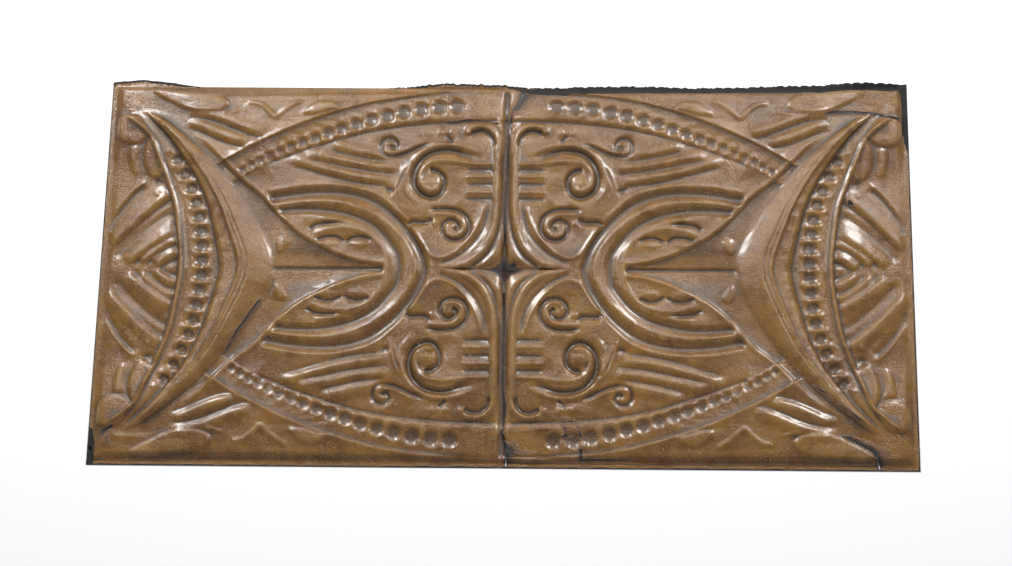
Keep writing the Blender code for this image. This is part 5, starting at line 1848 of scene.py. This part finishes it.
@dataclass(frozen=True)
class OldPaint:
    """Old glossy brown paint over tin, dusted, grimed and rusted, with painted shade in hollows,
    crevices and the torn middle, painted sheen over the far half and painted highlight on crests; bare
    metal on its back.
    """

    deep: tuple[float, ...] = srgb(100, 66, 25)
    field: tuple[float, ...] = srgb(127, 87, 35)
    # Lighter brown for raised crests: worn paint and a painted highlight.
    light: tuple[float, ...] = srgb(138, 103, 58)
    # Greyer brown of hollows and the far half: dirt, painted shade and painted sheen.
    grey_dust_and_sheen: tuple[float, ...] = srgb(100, 77, 50)
    # Dark brown for crevice lines as painted shade with dirt, and for paint pits.
    grime_and_shade: tuple[float, ...] = srgb(54, 37, 20)
    bare: tuple[float, ...] = srgb(17, 14, 12)
    rust: tuple[float, ...] = srgb(84, 52, 28)
    ochre: tuple[float, ...] = srgb(146, 108, 62)
    speck: tuple[float, ...] = srgb(196, 172, 140)
    tin: tuple[float, ...] = srgb(120, 116, 110)
    # Near-black painted shadow inside the pushed-in torn middle.
    pit_shadow: tuple[float, ...] = srgb(14, 8, 6)
    pit_rust: tuple[float, ...] = srgb(58, 26, 16)
    gloss: float = 0.16
    varnish: float = 0.40
    varnish_roughness: float = 0.09
    back_metal: float = 0.6
    clouds: Clouds = Clouds()

    def dress(self, obj: bpy.types.Object) -> None:
        """Paint an object.

        Args:
            obj: The object.
        """
        material = bpy.data.materials.new("old_brown_paint")
        nodes = Nodes(material)
        wear = Wear(nodes, self.clouds)
        inputs = nodes.shader.inputs
        nodes.feed(inputs["Base Color"], self.colour(nodes, wear))
        nodes.feed(inputs["Roughness"], self.roughness(wear))
        nodes.feed(inputs["Metallic"], wear.back * self.back_metal)
        nodes.feed(inputs["Coat Weight"], self.varnished(wear) * self.varnish)
        inputs["Coat Roughness"].default_value = self.varnish_roughness
        nodes.feed(inputs["Normal"], self.unevenness(nodes, wear))
        obj.data.materials.clear()
        obj.data.materials.append(material)

    def colour(self, nodes: Nodes, wear: Wear) -> bpy.types.NodeSocket:
        """Colour of the sheet, laid on layer by layer.

        Args:
            nodes: The material's nodes.
            wear: Where each layer shows.

        Returns:
            The colour's socket.
        """
        brown = (wear.clouds * 0.55 + wear.mottle * 0.45).rise(0.38, 0.60)
        flakes = nodes.mix(wear.grain.rise(0.35, 0.6), self.rust, self.ochre)
        # Painted shadow mixed with rust for the pushed-in torn middle.
        sunk = nodes.mix((wear.mottle + wear.grain * 0.4).rise(0.60, 0.90),
                         self.pit_shadow, self.pit_rust)
        stained = nodes.mix((wear.clouds + wear.mottle * 0.5).rise(0.6, 0.85),
                            self.tin, self.rust)
        layers = (
            # Raised crests: worn paint and painted highlight.
            (wear.rubbed_and_highlit * 0.65, self.light),
            # Hollows and far half greyed: dirt, painted shade and painted sheen.
            (wear.dust_shade_and_sheen * 0.60 + wear.far * 0.10, self.grey_dust_and_sheen),
            # Crevice lines: painted shade with some dirt.
            (wear.crevice_shade_and_grime * 0.88, self.grime_and_shade),
            (wear.dots * 0.75, self.speck),
            (wear.pits * 0.8, self.grime_and_shade),
            (wear.flaked * 0.8, flakes),
            (wear.rusty * 0.75, self.rust),
            (wear.black, self.bare),
            # Pushed-in torn middle: painted shadow with rust.
            (wear.pit.rise(0.15, 0.50), sunk),
            (wear.margin, self.bare),
            (wear.back, stained),
        )
        colour = nodes.mix(brown, self.deep, self.field)
        for share, layer in layers:
            colour = nodes.mix(share, colour, layer)
        return colour

    def roughness(self, wear: Wear) -> Num:
        """Glossy paint, duller wherever it is worn or dirty and over the painted shade and sheen.

        Args:
            wear: Where it is worn or dirty.

        Returns:
            The roughness.
        """
        return (self.gloss + (wear.mottle - 0.5) * 0.22 + wear.dust_shade_and_sheen * 0.08 + wear.crevice_shade_and_grime * 0.20
                + wear.flaked * 0.35 + wear.rusty * 0.25 + wear.margin * 0.60 + wear.pit * 0.60
                + wear.back * 0.15)

    def varnished(self, wear: Wear) -> Num:
        """Where the paint still has its top gloss.

        Args:
            wear: Where it is worn or dirty.

        Returns:
            1 on glossy paint, 0 where the gloss is gone.
        """
        whole = (1.0 - wear.margin.rise(0.0, 0.5)) * (1.0 - wear.back)
        return (whole * (1.0 - wear.pit.rise(0.0, 0.4)) * (1.0 - wear.patch)
                * wear.mottle.rise(0.30, 0.55))

    def unevenness(self, nodes: Nodes, wear: Wear) -> bpy.types.NodeSocket:
        """Ripples of the paint with fine grit, pits and splits on them.

        Args:
            nodes: The material's nodes.
            wear: Where each of them shows.

        Returns:
            The socket of the surface's direction.
        """
        coarse = (wear.ripple * 0.8 + wear.mottle * 0.4 + wear.margin * wear.grain * 0.6
                  + wear.flaked * wear.grain)
        fine = (wear.grain + wear.dots * 0.5 - wear.pits * 0.8 + wear.rusty * wear.grain
                - wear.black * 1.5)
        return nodes.bump(fine, 0.9, 0.0008, nodes.bump(coarse, 0.6, 0.0010))


@dataclass(frozen=True)
class Lamp:
    """Soft box that points at a place on the tile."""

    name: str
    place: tuple[float, float, float]
    aim: tuple[float, float, float]
    size: tuple[float, float]
    power: float

    def hang(self) -> None:
        """Put the soft box up."""
        data = bpy.data.lights.new(self.name, "AREA")
        data.shape = "RECTANGLE"
        data.size, data.size_y = self.size
        data.energy = self.power
        lamp = bpy.data.objects.new(self.name, data)
        lamp.location = self.place
        lamp.rotation_euler = (Vector(self.aim) - Vector(self.place)).to_track_quat(
            "-Z", "Y").to_euler()
        bpy.context.scene.collection.objects.link(lamp)


@dataclass(frozen=True)
class View:
    """The photograph's viewpoint."""

    location: tuple[float, float, float] = (0.14207, -1.24142, 3.58046)
    azimuth: float = 6.5036
    elevation: float = 71.0358
    roll: float = -5.8230
    lens: float = 90.03
    sensor: float = 36.0

    def place_camera(self) -> None:
        """Put the camera there and use it."""
        az, el, roll = (math.radians(a) for a in (self.azimuth, self.elevation, self.roll))
        back = Vector((math.sin(az) * math.cos(el), -math.cos(az) * math.cos(el),
                       math.sin(el)))
        right = (-back).cross(Vector((0, 0, 1))).normalized()
        up = right.cross(-back)
        turned_right = math.cos(roll) * right + math.sin(roll) * up
        turned_up = -math.sin(roll) * right + math.cos(roll) * up
        data = bpy.data.cameras.new("photo_camera")
        data.lens = self.lens
        data.sensor_width = self.sensor
        camera = bpy.data.objects.new("photo_camera", data)
        axes = Matrix((turned_right, turned_up, back)).transposed()
        camera.matrix_world = Matrix.Translation(self.location) @ axes.to_4x4()
        bpy.context.scene.collection.objects.link(camera)
        bpy.context.scene.camera = camera


@dataclass(frozen=True)
class Studio:
    """Pale floor and soft light."""

    floor_level: float = -0.0003
    floor_size: float = 12.0
    floor_colour: tuple[float, ...] = (0.92, 0.92, 0.92, 1.0)
    floor_roughness: float = 0.9
    sky_colour: tuple[float, ...] = (1.0, 1.0, 1.0, 1.0)
    sky: float = 0.34
    lamps: tuple[Lamp, ...] = (
        Lamp("left_box", (-1.30, 1.95, 2.00), (0.1, 0.0, 0.0), (0.45, 1.2), 64.0),
        Lamp("right_box", (1.30, 1.95, 2.00), (-0.1, 0.0, 0.0), (0.45, 1.2), 64.0),
        Lamp("far_box", (-0.1, 2.1, 3.5), (0.0, 0.1, 0.0), (3.0, 1.0), 12.0),
    )

    def build(self) -> bpy.types.Object:
        """Lay the floor, hang the lamps and light the sky.

        Returns:
            The floor.
        """
        bpy.ops.mesh.primitive_plane_add(size=self.floor_size,
                                         location=(0, 0, self.floor_level))
        bpy.ops.object.transform_apply(location=True, rotation=False, scale=False)
        floor = bpy.context.object
        floor.name = "floor"
        material = bpy.data.materials.new("pale_floor")
        material.use_nodes = True
        shader = material.node_tree.nodes["Principled BSDF"]
        shader.inputs["Base Color"].default_value = self.floor_colour
        shader.inputs["Roughness"].default_value = self.floor_roughness
        floor.data.materials.append(material)
        for lamp in self.lamps:
            lamp.hang()
        world = bpy.data.worlds.new("studio")
        world.use_nodes = True
        background = world.node_tree.nodes["Background"]
        background.inputs["Strength"].default_value = self.sky
        background.inputs["Color"].default_value = self.sky_colour
        bpy.context.scene.world = world
        return floor


def main() -> None:
    """Build the sheet, paint it, light it and set the camera."""
    logging.basicConfig(level=logging.INFO, format="%(message)s")
    sheet = SheetBuilder().build()
    OldPaint().dress(sheet)
    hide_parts("pressed_sheet")
    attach(sheet, "root")
    LOG.info("%s: %d triangles", sheet.name,
             sum(len(face.vertices) - 2 for face in sheet.data.polygons))
    floor = Studio().build()
    LOG.info("%s: %.1f m square", floor.name, floor.dimensions.x)
    View().place_camera()
    bpy.context.scene.view_settings.view_transform = "Standard"


if __name__ == "__main__":
    main()
